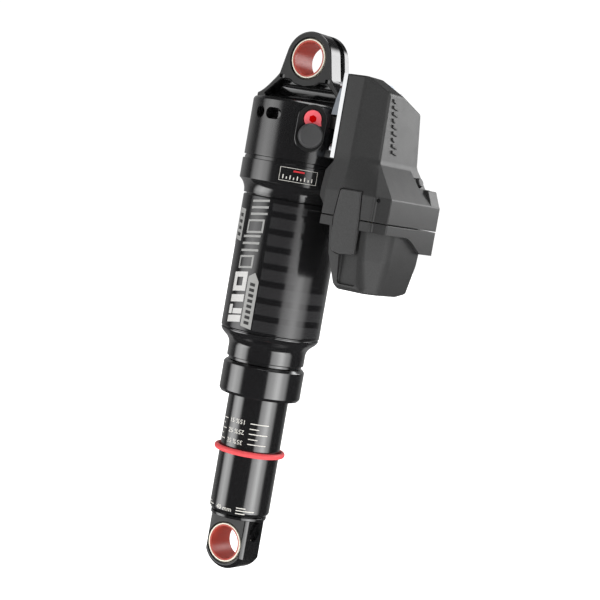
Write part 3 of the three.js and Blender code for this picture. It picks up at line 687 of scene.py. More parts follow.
def build_head():
    cup = turned("head_forging", [
        (0, -16.6), (14, -16.8, 1), (HEAD_R - 0.7, HEAD_TOP + 0.1, 0.3), (HEAD_R, HEAD_TOP - 0.8, 0.4),
        (HEAD_R, HEAD_BOTTOM + 0.1, 0.35), (18.9, HEAD_BOTTOM, 0.1), (18.9, -32.2), (16.6, -32.2),
        (16.6, -29), (4.8, -29), (4.8, -20.5), (0, -20.5),
    ], 192)
    foot = [(STRUT_SIDE, STRUT_SHOULDER)]
    foot += bezier((13.4, -8.4), (16.2, -11.6), (18.6, -14.4), (STRUT_FOOT, -15.5), 8)
    foot += [(STRUT_FOOT, -20)]
    web = bevelled(along_y("web", eye_outline(0, foot), -EYE_HALF, EYE_HALF), 0.45, 3, 25)
    inner = [(STRUT_SIDE - 1.6, STRUT_SHOULDER - 0.2)]
    outer_ring = along_y("groove", [(-15, -7), (-15, 12), (15, 12), (15, -7)], 0.2, 3.4)
    groove = cut(outer_ring, along_y("core", eye_outline(1.6, inner), -1, 5))
    half = [(4.5, -10.25), (6.6, -8.9), (10.4, -8.7), (17.4, -15.2), (17.4, -17.6)]
    pocket = [(0, -11.1)] + half + [(-x, z) for x, z in reversed(half)]
    pocket = [tuple(p) for p in rounded([(x, z, 0.5) for x, z in pocket], True, 3)]
    notches = [
        block("notch", side * 10.6 - 1.1, side * 10.6 + 1.1, face * 6.0 - 0.6, face * 6.0 + 0.6, -8.5, -7.1)
        for side in (-1, 1) for face in (-1, 1)
    ]
    web = cut(web, groove, *strut_pockets(pocket), *notches)
    saddle = bar("saddle", Vector((0, 0, -19.6)), X, 5.6, -17.6, 17.6, 96, 0.4)
    trim = turned("trim", [(HEAD_R, -6), (40, -6), (40, -30), (HEAD_R, -30)], 192)
    web = cut(joined(web, saddle), trim)

    boss = bevelled(block("boss", 10, 25.2, -11.5, 11.5, -36.5, -20.3), 0.7, 4)
    boss = cut(boss, turned("core", [(0, 0), (20.2, 0), (20.2, -60), (0, -60)], 192))
    boss_windows = [block("window", 17, 24.2, a, b, -33.2, -25.2) for a, b in ((-12.5, -8.6), (8.6, 12.5))]
    boss = cut(boss, *boss_windows)

    pad_r = 5.6
    straight = 9.1 - pad_r
    pad_z = -26.6
    stadium = capsule(pad_z, straight, pad_r, 32, True)
    pad = bevelled(pushed("pad", stadium, 19.5, 22.1, PORT_SIDE, Z), 0.35, 3)

    piece = joined(cup, web, boss, pad)
    holes = []
    for azimuth, reach in ((-111.6, 0.4), (-92.6, 1.35)):
        angle = math.radians(azimuth)
        side = Vector((-math.sin(angle), math.cos(angle), 0))
        holes.append(pushed("hole", capsule(-23.2, reach, 2.2, 24, False), 15, 26, side, Z))
    cut(
        piece, *holes,
        eye_bore(8.5, 0),
        turned("seat", [(0, 21.4), (3.7, 21.4), (3.7, 24), (0, 24)], 64, PORT, Vector((0, 0, KNOB_Z))),
        bar("shaft_bore", Vector((0, 0, KNOB_Z)), PORT, 1.9, 14, 30, 32),
        bar("valve_bore", Vector((0, 0, VALVE_Z)), PORT, 3.0, 14, 30, 48),
        bar("spool_bore", Vector((0, 0, SPOOL_Z)), X, 3.3, 12, 30, 48),
    )
    cleaned(piece)
    paint(piece, 1, lambda c, n: abs(n.y) > 0.98 and abs(c.y) > EYE_HALF - 0.05 and c.z > HEAD_TOP + 0.2)
    paint(piece, 1, lambda c, n: n.dot(PORT) > 0.98 and 22 < c.dot(PORT) < 22.3)

    def on_boss(centre, _normal):
        beyond = centre.xy.length > HEAD_R + 0.1
        return centre.x > 16 and abs(centre.y) < 11.6 and -37 < centre.z < -20 and beyond

    paint(piece, 1, on_boss)
    smooth(piece, 28)
    placed(piece, "upper_body", "satin_black_anodised", [GLOSS_PLAIN, SATIN], "head")


def build_bushing(name, body, node, z):
    """A plain bearing: bronze-backed shell with a visible bright edge, and a red-brown lining."""
    centre = Vector((0, 0, z))
    lining = BUSHING_R - 0.5
    shell = turned(name + "_shell", [
        (lining, -EYE_HALF), (BUSHING_R, -EYE_HALF, 0.2), (BUSHING_R, EYE_HALF, 0.2), (lining, EYE_HALF),
    ], 128, Y, centre)
    placed(smooth(shell), body, "bushing_liner", BUSH_EDGE, node)
    inner = high(node).z - z - 1.19
    edge = EYE_HALF - 0.12
    liner = turned(name + "_lining", [
        (inner, -edge, 0.15), (lining - 0.02, -edge), (lining - 0.02, edge), (inner, edge, 0.15),
    ], 128, Y, centre)
    placed(smooth(liner), body, "bushing_liner", LINER)


# ---------- air can ----------
def build_air_can():
    band = [
        (16.3, -32.5), (18.6, -32.5), (18.6, HEAD_BOTTOM - 0.04), (21.1, HEAD_BOTTOM - 0.04),
        (21.1, HEAD_BOTTOM - 0.4), (21.3, HEAD_BOTTOM - 0.4),
        (21.3, HEAD_BOTTOM - 1.3, 0.05), (BAND_R, HEAD_BOTTOM - 1.42, 0.12),
    ]
    band += [(r, z) for r, z in bezier((BAND_R, -48.7), (20.9, -49.4), (19.45, -51.2), (19.4, -53.7), 14)]
    band += [(19.4, -54.1, 0.1), (18.3, -54.2), (18.3, -104.6), (16.3, -104.6)]
    lathe("air_can", band, 192, 24, "upper_body", "gloss_black_anodised", GLOSS, "air_can_body")

    sleeve = [
        (18.6, SLEEVE_TOP), (18.95, SLEEVE_TOP, 0.05), (SLEEVE_R, SLEEVE_TOP - 0.45, 0.12),
        (SLEEVE_R, SLEEVE_BOTTOM + 0.45, 0.12), (18.95, SLEEVE_BOTTOM, 0.05), (18.6, SLEEVE_BOTTOM),
    ]
    lathe("can_sleeve", sleeve, 192, 24, "upper_body", "gloss_black_anodised", SLEEVE, "air_can_sleeve")

    end = [(16.6, -104.9), (18.2, -104.9), (18.2, SLEEVE_BOTTOM - 0.3), (19.15, SLEEVE_BOTTOM - 0.35, 0.15)]
    end += bezier((19.1, -107.1), (18.3, -109.4), (15.4, -109.6), (15.12, -113.0), 16)
    end += [
        (15.12, NECK_BOTTOM + 1.2, 0.2), (14.4, NECK_BOTTOM + 1.0, 0.1), (14.4, NECK_BOTTOM, 0.1),
        (13.4, NECK_BOTTOM), (13.4, -110.2), (12.4, -110.2), (12.4, -108.2), (16.6, -108.2),
    ]
    lathe("can_end", end, 192, 24, "upper_body", "gloss_black_anodised", GLOSS, "air_can_end")

    collar = [
        (12.3, COLLAR_TOP), (15.0, COLLAR_TOP, 0.1), (COLLAR_R, COLLAR_TOP - 0.95, 0.2),
        (COLLAR_R, COLLAR_BOTTOM + 1.1, 0.2), (15.15, COLLAR_BOTTOM, 0.2), (14.3, COLLAR_BOTTOM, 0.1),
        (14.3, -127.4), (12.3, -127.4),
    ]
    lathe("seal_collar", collar, 160, 24, "upper_body", "gloss_black_anodised", GLOSS, "seal_head")
    wiper = [
        (12.55, -127.7), (13.95, -127.7), (13.95, -131.2, 0.2), (13.2, -131.3, 0.1), (12.9, -130.9, 0.1),
        (12.5, -131.3), (12.1, -131.55), (12.12, -130.9),
    ]
    lathe("wiper_lip", wiper, 128, 32, "upper_body", "black_rubber", BLACK_RUBBER, "dust_wiper")


def build_damper_body():
    tube = [
        (9.75, TUBE_TOP), (TUBE_R - 0.3, TUBE_TOP, 0.1), (TUBE_R, TUBE_TOP - 0.3, 0.1),
        (TUBE_R, TUBE_BOTTOM + 1.3, 0.5), (TUBE_R - 1, TUBE_BOTTOM, 0.3), (9.75, TUBE_BOTTOM),
    ]
    lathe("damper_tube", tube, 160, 24, "lower_body", "gloss_black_anodised", GLOSS, "damper_body")
    ring_z = middle("sag_ring").z
    half = (high("sag_ring").z - low("sag_ring").z) / 2
    thickness = 0.94
    radius = high("sag_ring").x - thickness
    section = ellipse((radius, ring_z), thickness, half, 24)
    lathe("sag_band", section, 128, 60, "sag_ring_body", "red_rubber", RED_RUBBER, "sag_ring")


# ---------- lower eyelet ----------
def build_lower_eyelet():
    radius, half = 10.2, 9.1
    top = TUBE_BOTTOM - 0.4

    def cheeks(inset):
        r, h = radius - inset, half - inset
        cheek = math.degrees(math.acos(h / r))
        return arc((0, LOWER_EYE_Z), r, 180 + cheek, 360 - cheek, 64) + [(h, top), (-h, top)]

    chamfer = [(0, 1.45), (0.12, 1.15), (0.5, 0.75), (1.05, 0.25), (1.5, 0.04), (1.8, 0)]
    sections = [(-EYE_HALF + y, cheeks(inset)) for y, inset in chamfer]
    sections += [(EYE_HALF - y, cheeks(inset)) for y, inset in reversed(chamfer)]
    piece = lofted("lower_eyelet_body", sections)
    shoulder = turned("shoulder", [(0, -178.3), (10.9, -178.3, 0.2), (10.9, -179.4, 0.2), (0, -179.4)], 128)
    plug = turned("plug", [(0, -168), (9.4, -168, 0.3), (9.4, -179), (0, -179)], 96)
    pockets = []
    for side in (-1, 1):
        start, end = sorted((7.45 * side, 12 * side))
        pockets.append(pushed("pocket", ellipse((0, -183.9), 3.3, 4.1, 48), start, end, Y, Z))
    cut(joined(piece, shoulder, plug), eye_bore(8.4, LOWER_EYE_Z), *pockets)
    ribs = []
    for side in (-1, 1):
        for lean in (-1, 1):
            start, end = sorted((7.4 * side, 8.4 * side))
            rib = [(-2.9 * lean - 0.17, -187.2), (-2.9 * lean + 0.17, -187.2),
                   (2.9 * lean + 0.17, -180.6), (2.9 * lean - 0.17, -180.6)]
            ribs.append(pushed("rib", rib, start, end, Y, Z))
    joined(piece, *ribs)
    cleaned(piece)
    paint(piece, 1, lambda c, n: abs(n.y) > 0.98 and abs(c.y) > EYE_HALF - 0.05 and c.z < top - 1.4)
    smooth(piece, 28)
    looks = [GLOSS_PLAIN, SATIN]
    placed(piece, "lower_body", "satin_black_anodised", looks, "lower_eyelet")


# ---------- adjuster and valve ----------
def build_port():
    knob_axis = Vector((0, 0, KNOB_Z))
    disc = [(0, 22.4), (3.25, 22.4, 0.1), (3.25, 23.3, 0.15), (0, 23.3)]
    knob = turned("rebound_dial", disc, 96, PORT, knob_axis)
    tip = [(0, 0)] + [
        (r * math.cos(math.radians(a - 31)), r * math.sin(math.radians(a - 31)))
        for r, a in ((3.15, -26), (3.5, -12), (4.15, 0), (3.5, 12), (3.15, 26))
    ]
    pointer = pushed("pointer", [(a, b + KNOB_Z) for a, b in tip], 22.42, 23.28, PORT_SIDE, Z)
    shaft = bar("shaft", knob_axis, PORT, 1.5, 14.6, 22.6, 32)
    joined(knob, pointer, shaft)
    cut(knob, pushed("hex", hexagon(1.5, KNOB_Z, 30), 21.2, 24, PORT_SIDE, Z))
    cleaned(knob)
    # the socket's faces take the darker red copy: painted shade in the recess
    paint(knob, 1, lambda c, n: (c - knob_axis - PORT * c.dot(PORT)).length < 1.45 and c.dot(PORT) < 23.25)
    looks = [RED, RED_SOCKET_SHADE]
    placed(smooth(knob), "rebound_knob_body", "red_anodised", looks, "rebound_knob")

    axis = Vector((0, 0, VALVE_Z))
    cap = turned("valve_cover", [
        (0, 27.6), (CAP_R - 0.65, 27.55, 0.35), (CAP_R, 26.7, 0.35), (CAP_R, 23.6, 0.25),
        (3.8, 23.6), (3.8, 26.9), (0, 26.9),
    ], 96, PORT, axis)
    placed(smooth(cap), "valve_cap_body", "cap_plastic", HOUSING_SMOOTH, "valve_cap")
    thread = [(1.2, 17.2), (2.7, 17.2), (2.7, 23.75), (3.2, 23.8)]
    pitch = 0.7
    for i in range(3):
        base = 24.1 + pitch * i
        thread += [(3.5, base), (3.5, base + 0.12), (3.12, base + 0.36), (3.5, base + 0.6)]
    thread += [(3.3, 26.6), (1.2, 26.6)]
    at_valve = {"axis": PORT, "centre": axis}
    lathe("valve_body", thread, 64, 32, "upper_body", "machined_alloy", MACHINED, "valve_stem", **at_valve)
    core = [(0, 17), (0.85, 17), (0.85, 26, 0.2), (0.5, 26.2, 0.2), (0, 26.2)]
    lathe("valve_core_pin", core, 32, 32, "valve_pin_body", "hardened_steel", BUSH_EDGE, "valve_pin",
          **at_valve)


# ---------- module ----------
HOUSING_X0 = low("module_lower_housing").x
HOUSING_X1 = high("module_lower_housing").x
BLOCK_Y = high("module_lower_housing").y
UPPER_Y = high("manifold_plate").y
CREASE_Z, RIM_Z = -35.0, -47.6
MODULE_TOP = high("module_upper_housing").z
RIDGE_X, SHOULDER_Y = HOUSING_X1 - 5.3, BLOCK_Y - 2.7
LATCH_FACE = low("battery_latch").y
LATCH_TOP, LATCH_BOTTOM = high("battery_latch").z, low("battery_latch").z
BATTERY_TOP, BATTERY_BOTTOM = high("battery").z, low("battery").z


def skinned(name, rings):
    """A solid through rings of (z, points) from the lowest up. Points that coincide are merged."""
    def build(form):
        rows = [[form.verts.new((x, y, z)) for x, y in points] for z, points in rings]
        for lower, upper in zip(rows, rows[1:]):
            for i in range(len(lower)):
                j = (i + 1) % len(lower)
                form.faces.new([lower[i], lower[j], upper[j], upper[i]])
        form.faces.new(list(reversed(rows[0])))
        form.faces.new(rows[-1])
        bmesh.ops.remove_doubles(form, verts=form.verts, dist=0.001)

    return mesh_piece(name, build)


def mirrored_ring(z, side):
    """A level section from its near-side points (x, y > 0), mirrored about the XZ plane."""
    return z, [(x, -y) for x, y in side] + [(x, y) for x, y in reversed(side)]


def edge_bevel(piece, width, segments, weight):
    """Bevels each edge by width times weight(edge): 0 leaves the edge sharp."""
    def change(form):
        layer = form.edges.layers.float.new("bevel_weight_edge")
        for edge in form.edges:
            edge[layer] = weight(edge)

    edited(piece, change)
    bevel = piece.modifiers.new("bevel", "BEVEL")
    bevel.width = width
    bevel.segments = segments
    bevel.limit_method = "WEIGHT"
    bevel.use_clamp_overlap = False
    bevel.miter_outer = "MITER_ARC"
    return settle(piece)


def dihedral(edge):
    return math.degrees(edge.calc_face_angle(0)) if len(edge.link_faces) == 2 else 0


def sliced(piece, point, direction):
    """Takes away everything on the far side of a plane and closes the cut."""
    def change(form):
        made = bmesh.ops.bisect_plane(
            form, geom=whole(form), plane_co=point, plane_no=direction, clear_outer=True, dist=0.0001
        )
        rim = [item for item in made["geom_cut"] if isinstance(item, bmesh.types.BMEdge)]
        bmesh.ops.edgeloop_fill(form, edges=rim)

    return edited(piece, change)


def latch_outline(grow):
    left, right = 34.2 - grow, 43.2 + grow
    foot = LATCH_BOTTOM - grow
    points = [(left, LATCH_TOP + grow, 1.2), (33.2 - grow, SEAM_Z), (33.7 - grow, LATCH_BOTTOM + 3.4, 1)]
    points += [(34.8 - grow, foot + 0.6, 2.2), (38, foot), (44.4 + grow, foot + 0.6, 0.8)]
    points += [(44.2 + grow, SEAM_Z), (right, LATCH_TOP + grow, 0.5)]
    return [tuple(p) for p in rounded(points, True, 6)]


def latch_recess(grow, depth):
    return along_y("recess", latch_outline(grow), -30, depth)


def housing_rings(bottom):
    block_side = [(HOUSING_X0, BLOCK_Y), (34.4, BLOCK_Y), (RIDGE_X, BLOCK_Y), (HOUSING_X1, SHOULDER_Y)]
    return [mirrored_ring(bottom, block_side), mirrored_ring(RIM_Z, block_side)]


def ridge_bead(bottom, top):
    """The raised bead along the lower block's upright front ridge."""
    return bar("bead", Vector((RIDGE_X + 0.15, -BLOCK_Y + 0.45, 0)), Z, 0.85, bottom, top, 32, 0.2)


def build_upper_shell():
    crease = [(HOUSING_X0, UPPER_Y), (34.7, UPPER_Y), (44.4, 13.9), (44.4, 13.9)]
    top = [(HOUSING_X0, UPPER_Y), (35.2, UPPER_Y), (42, 11.2), (42, 11.2)]
    rings = housing_rings(SEAM_Z + 0.15)
    rings += [mirrored_ring(CREASE_Z, crease), mirrored_ring(MODULE_TOP, top)]
    shell = skinned("upper_shell", rings)
    sliced(shell, Vector((42, 0, -9.2)), Vector((0.6, 0, 0.8)))
    sliced(shell, Vector((42, -1.7, -9.2)), Vector((0.4, 0.342, 1)))

    def ease_twist(form):
        """Divides the two twisted flare faces below the crease, so that they curve evenly."""
        bmesh.ops.recalc_face_normals(form, faces=form.faces)
        twisted = [
            f for f in form.faces
            if len(f.verts) == 4 and RIM_Z - 0.1 < f.calc_center_median().z < CREASE_Z
            and 36 < f.calc_center_median().x < 47
        ]
        edges = {edge for face in twisted for edge in face.edges}
        bmesh.ops.subdivide_edges(form, edges=list(edges), cuts=9, use_grid_fill=True)

    edited(shell, ease_twist)

    def weight(edge):
        a, b = (v.co for v in edge.verts)
        centre = (a + b) / 2
        if dihedral(edge) < 8 or centre.z < SEAM_Z + 1 or abs(centre.x - HOUSING_X0) < 0.01:
            return 0.3 if dihedral(edge) > 30 else 0
        if abs(centre.z - CREASE_Z) < 0.1:
            return 1.5
        if CREASE_Z > centre.z > RIM_Z + 0.1:
            flare = SHOULDER_Y * (0.5 + 0.04 * (CREASE_Z - centre.z))
            return 0.0 if centre.x > 44.4 and abs(centre.y) < flare else 0.35
        return 0.42 if centre.z < RIM_Z + 0.2 else 1.0

    edge_bevel(shell, 0.85, 4, weight)
    cheek_rings = [
        (z, [(x, -side), (HOUSING_X0 + 0.6, -front), (HOUSING_X0 + 0.6, front), (x, side)])
        for z, x, side, front in (
            (-53.8, 27.4, 19.6, BLOCK_Y - 0.02), (-50.4, 24.2, 19, BLOCK_Y - 0.02),
            (-47.6, 24.2, 19, BLOCK_Y - 0.02), (-40.8, 24.2, 18.1, 19.4), (-36.6, 27.4, 18, 18.7))
    ]
    cheek = bevelled(skinned("cheek", cheek_rings), 0.4, 3, 12)
    bead = ridge_bead(SEAM_Z + 0.18, RIM_Z + 0.1)
    seat = [(44.6, CREASE_Z), (47.3, -41.6), (60, -41.8), (60, -30), (44.6, -30)]
    ledge = [(46, -41.7), (52.2, -41.9), (HOUSING_X1, RIM_Z), (46, RIM_Z)]
    cut(shell, along_y("seat", seat, 8, 30))
    joined(shell, bevelled(along_y("ledge", ledge, 11, 17.6), 0.35, 3), cheek, bead)
    button = middle("pairing_button")
    lens = Vector((50.5, -20.14, -48.65))
    cut(
        shell,
        latch_recess(0.4, LATCH_PIVOT.y + 0.3),
        block("hollow", HOUSING_X0 + 2, 46, -15, 15, -60, -38),
        bar("button_bore", button, BUTTON_AXIS, BUTTON_R + 0.3, -6, 6, 48),
        bar("lens_bore", lens, Vector((2.7, -5.3, 0)).normalized(), 0.75, -1.4, 4, 32),
    )
    cleaned(shell)
    placed(smooth(shell, 26), "upper_body", "housing_plastic", HOUSING, "module_upper_housing")


def build_lower_shell():
    foot = low("module_lower_housing").z
    shell = skinned("lower_shell", [housing_rings(z)[0] for z in (foot, SEAM_Z - 0.15)])

    def weight(edge):
        a, b = (v.co for v in edge.verts)
        upright = abs(a.z - b.z) > 1
        if dihedral(edge) < 8 or abs((a.x + b.x) / 2 - HOUSING_X0) < 0.01:
            return 0
        return 1.0 if upright else 0.4

    edge_bevel(shell, 0.6, 4, weight)
    skirt = -60.5
    corner = [(BLOCK_Y - 2.2, foot - 1), (BLOCK_Y + 1, foot - 1), (BLOCK_Y + 1, foot + 2.6)]
    clear = [(-30, skirt, 0), (-1, skirt, 3), (8.6, foot + 0.2, 1.4), (8.6, -70), (-30, -70)]
    clear = [tuple(p) for p in rounded(clear, True, 6)]
    around = [(30, -19.8), (46.2, -19.8), (53.4, -10.1), (53.4, 13), (51.7, 14.2), (30, 14.2)]
    cut(
        shell,
        pushed("clear", clear, 20, 60, Y, Z),
        pushed("corner", corner, 20, 60, Y, Z),
        block("inner", 20, 29.2, -30, 30, -70, skirt),
        skinned("pocket", [(-70, around), (BATTERY_TOP + 0.3, around)]),
        latch_recess(0.4, LATCH_PIVOT.y + 0.3),
        block("contacts", 33.4, 40.6, -3.6, 9.6, -60, -50),
    )
    joined(shell, ridge_bead(-60.3, SEAM_Z - 0.18))
    cleaned(shell)
    placed(smooth(shell, 26), "upper_body", "housing_plastic", HOUSING, "module_lower_housing")


def build_battery():
    top, bottom = BATTERY_TOP, BATTERY_BOTTOM
    rings = [
        (bottom, [(37.6, -17.2), (49.2, -17.2), (51.4, -11), (51.4, 2.2), (49, 4.2), (37.6, 4.2)]),
        (bottom + 1.5, [(36, -18.2), (48.8, -18.2), (52, -11), (52, 8.4), (50.4, 9.6), (36, 9.6)]),
        (-70.5, [(32.3, -19.3), (46.3, -19.3), (53, -10.6), (53, 10.6), (51.4, 12.4), (32.3, 12.4)]),
        (top, [(30.6, -19.5), (45.2, -19.5), (53, -10), (53, 11.8), (51.4, 13.6), (30.6, 13.6)]),
    ]
    pack = skinned("battery_case", rings)

    def weight(edge):
        a, b = (v.co for v in edge.verts)
        centre = (a + b) / 2
        if centre.z > top - 0.1:
            return 0.05
        if dihedral(edge) < 6:
            return 0
        if abs(a.z - b.z) > 2 and centre.x > 44 and centre.y < -9:
            return 1.0
        return 0.28

    edge_bevel(pack, 2.4, 6, weight)
    scoop = [(36.6, top - 1, 0), (44.7, top - 1, 0), (45.9, bottom + 2, 1.4), (37.7, bottom + 2, 1.4)]
    scoop = [tuple(p) for p in rounded(scoop, True, 5)]
    cut(
        pack,
        latch_recess(0.5, -18.9),
        block("finger_space", 33, 44.9, -30, -18.9, -66, -50),
        bevelled(along_y("scoop", scoop, -30, -17.2), 0.7, 4, 30),
        block("contacts", 34, 40, -3, 9, top - 0.8, top + 1),
    )
    cleaned(pack)
    placed(smooth(pack, 26), "battery_body", "housing_plastic", HOUSING, "battery")


def build_latch():
    lever = along_y("latch_lever", latch_outline(0), LATCH_FACE, LATCH_PIVOT.y)
    bevelled(lever, 0.55, 4, 40)
    barrel = bar("barrel", LATCH_PIVOT, X, 1.75, 34.4, 43, 48, 0.3)
    joined(lever, barrel)
    cut(lever, bar("pin_bore", LATCH_PIVOT, X, 1.1, 30, 50, 32))
    cleaned(lever)
    smooth(lever, 26)
    placed(lever, "battery_latch_body", "housing_plastic", LATCH_PLASTIC, "battery_latch")


def build_ribs():
    """A row of short slanted grip ribs moulded on the module's outer face."""
    count = 9
    ribs = []
    for i in range(count):
        t = i / (count - 1)
        y, z = -7.7 + 2.6 * t, -11.4 - 18.6 * t
        x = 42 + 2.4 * (MODULE_TOP - z) / (MODULE_TOP - CREASE_Z)
        reach = 1.7 if i % 3 else 0.9
        far = y - 1.7 + 2 * reach
        outline = [(y - 1.7, z + 0.35), (far, z - 0.3), (far + 0.1, z - 1.45), (y - 1.6, z - 0.8)]
        rib = pushed("rib", outline, x - 0.4, x + 0.6, Y, Z)
        ribs.append(bevelled(rib, 0.2, 3, 40))
    first = ribs[0]
    joined(first, *ribs[1:])
    first.name = "grip_ribs"
    placed(smooth(first, 30), "upper_body", "housing_plastic", HOUSING)


def build_module():
    plate = from_node("module_plate", "manifold_plate")

    def part_gussets(form):
        foot = (PLATE_INNER_FACE - 0.02, 0, 0)
        bmesh.ops.bisect_plane(form, geom=whole(form), plane_co=foot, plane_no=X)

    edited(plate, part_gussets)
    sliced(plate, Vector((PLATE_INNER_FACE, 16.1, -6.3)), Vector((0, 0.75, 1)))
    paint(plate, 1, lambda c, n: abs(n.x) > 0.9 or c.x < PLATE_INNER_FACE)
    looks = [POLISHED, BRUSHED]
    placed(smooth(plate), "upper_body", "polished_alloy", looks, "manifold_plate")
    build_upper_shell()
    build_lower_shell()
    build_battery()
    build_latch()
    build_ribs()
    button = bar("small_button", middle("pairing_button"), BUTTON_AXIS, BUTTON_R, -2, 2, 48, 0.3)
    smooth(button, 40)
    placed(button, "pairing_button_body", "cap_plastic", HOUSING_SMOOTH, "pairing_button")


def build_screw(name, node, axis, radius, height, socket):
    """A socket-head screw seen from its head side; the shank stays plain."""
    centre = middle(node)
    far = high(node).x if axis.x > 0 else low(node).x
    point = Vector((far, centre.y, centre.z)) - axis * height
    length = high(node).x - low(node).x - height
    shank = radius * 0.55
    screw = turned(name, [
        (0, -length), (shank, -length, 0.2), (shank, 0), (radius, 0, 0.15), (radius, height, 0.3),
        (0, height),
    ], 64, axis, point)
    across = Y if axis.x > 0 else -Y
    spots = hexagon(socket, centre.z, 0, centre.dot(across))
    depth = (far * axis.x - height * 0.6, far * axis.x + 1)
    cut(screw, pushed("hex", spots, *depth, across, Z))
    placed(smooth(cleaned(screw)), "upper_body", "hardened_steel", STEEL, node)


# ---------- printed marks ----------
def wrapped(name, polygons, radius, body, look, slot, thickness=0.03):
    """Thin flat shapes laid round a vertical cylinder. Points are (azimuth in degrees, z)."""
    def build(form):
        for polygon in polygons:
            form.faces.new([form.verts.new((math.radians(a) * radius, z, 0)) for a, z in polygon])

    piece = mesh_piece(name, build)
    form = bmesh.new()
    form.from_mesh(piece.data)
    step = math.radians(2.5) * radius
    reach = [v.co.x for v in form.verts]
    place = math.floor(min(reach) / step) * step
    while place < max(reach):
        bmesh.ops.bisect_plane(form, geom=whole(form), plane_co=(place, 0, 0), plane_no=X)
        place += step
    for face in form.faces:
        if face.normal.z < 0:
            face.normal_flip()
    top = bmesh.ops.extrude_face_region(form, geom=form.faces[:])
    for vertex in (v for v in top["geom"] if isinstance(v, bmesh.types.BMVert)):
        vertex.co.z = thickness
    for vertex in form.verts:
        angle, distance = vertex.co.x / radius, radius + vertex.co.z
        vertex.co = Vector((distance * math.cos(angle), distance * math.sin(angle), vertex.co.y))
    bmesh.ops.recalc_face_normals(form, faces=form.faces)
    form.to_mesh(piece.data)
    form.free()
    return placed(piece, body, slot, look)


def numeral(text, azimuth, z, height, flipped=False):
    """The outlines of a numeral from the built-in font as (azimuth, z) polygons, read horizontally."""
    curve = bpy.data.curves.new("numeral", "FONT")
    curve.body = text
    curve.size = height / 0.7
    curve.resolution_u = 3
    holder = linked("numeral", curve)
    graph = bpy.context.evaluated_depsgraph_get()
    mesh = bpy.data.meshes.new_from_object(holder.evaluated_get(graph))
    width = max(v.co.x for v in mesh.vertices)
    polygons = []
    turn = -1 if flipped else 1
    for face in mesh.polygons:
        spots = [mesh.vertices[i].co for i in face.vertices]
        polygons.append([
            (azimuth + math.degrees((s.x - width / 2) * turn / TUBE_R), z + (s.y - height / 2) * turn)
            for s in spots
        ])
    bpy.data.objects.remove(holder)
    return polygons


def sloped(left, right, bottom, top, slant=1.1):
    """A parallelogram whose level edges rise by slant from left to right."""
    return [(left, bottom), (right, bottom + slant), (right, top + slant), (left, top)]


def build_scale():
    """The sag scale and the end-of-travel mark, printed on the damper body."""
    thick = 0.17                      # half of a line's width
    long_marks, short_marks = (-141.4, -145.4, -149.4, -175.5), (-143.45, -147.45, -174.5, -176.65)
    marks = []
    for heights, right_end, left_end in ((long_marks, -26, -116), (short_marks, -44, -125)):
        for z in heights:
            marks.append(sloped(-62, right_end, z - thick, z + thick, 0))
            marks.append(sloped(-134, left_end, z - thick, z + thick, 0))
    wrapped("scale_lines", marks, TUBE_R + 0.01, "lower_body", INK_CREAM, "gloss_black_anodised")
    numbers = []
    for text, z in (("15 %", -141.4), ("25 %", -145.4), ("35 %", -149.4), ("40 mm", -175.6)):
        travel = z < -170
        numbers += numeral(text, -88 if travel else -96, z, 1.75)
        if not travel:
            numbers += numeral(text.split()[0], -77, z, 1.75, True)
    wrapped("scale_numbers", numbers, TUBE_R + 0.01, "lower_body", INK_CREAM, "gloss_black_anodised")


def hollow(left, right, bottom, top, line, slant=1.1):
    """The four strips of a parallelogram frame: no strip overlaps another."""
    turn = math.degrees(line / SLEEVE_R)
    rise = slant * turn / (right - left)
    return [
        sloped(left, right, bottom, bottom + line, slant),
        sloped(left, right, top - line, top, slant),
        sloped(left, left + turn, bottom + line, top - line, rise),
        [(right - turn, bottom + line + slant - rise), (right, bottom + line + slant),
         (right, top - line + slant), (right - turn, top - line + slant - rise)],
    ]


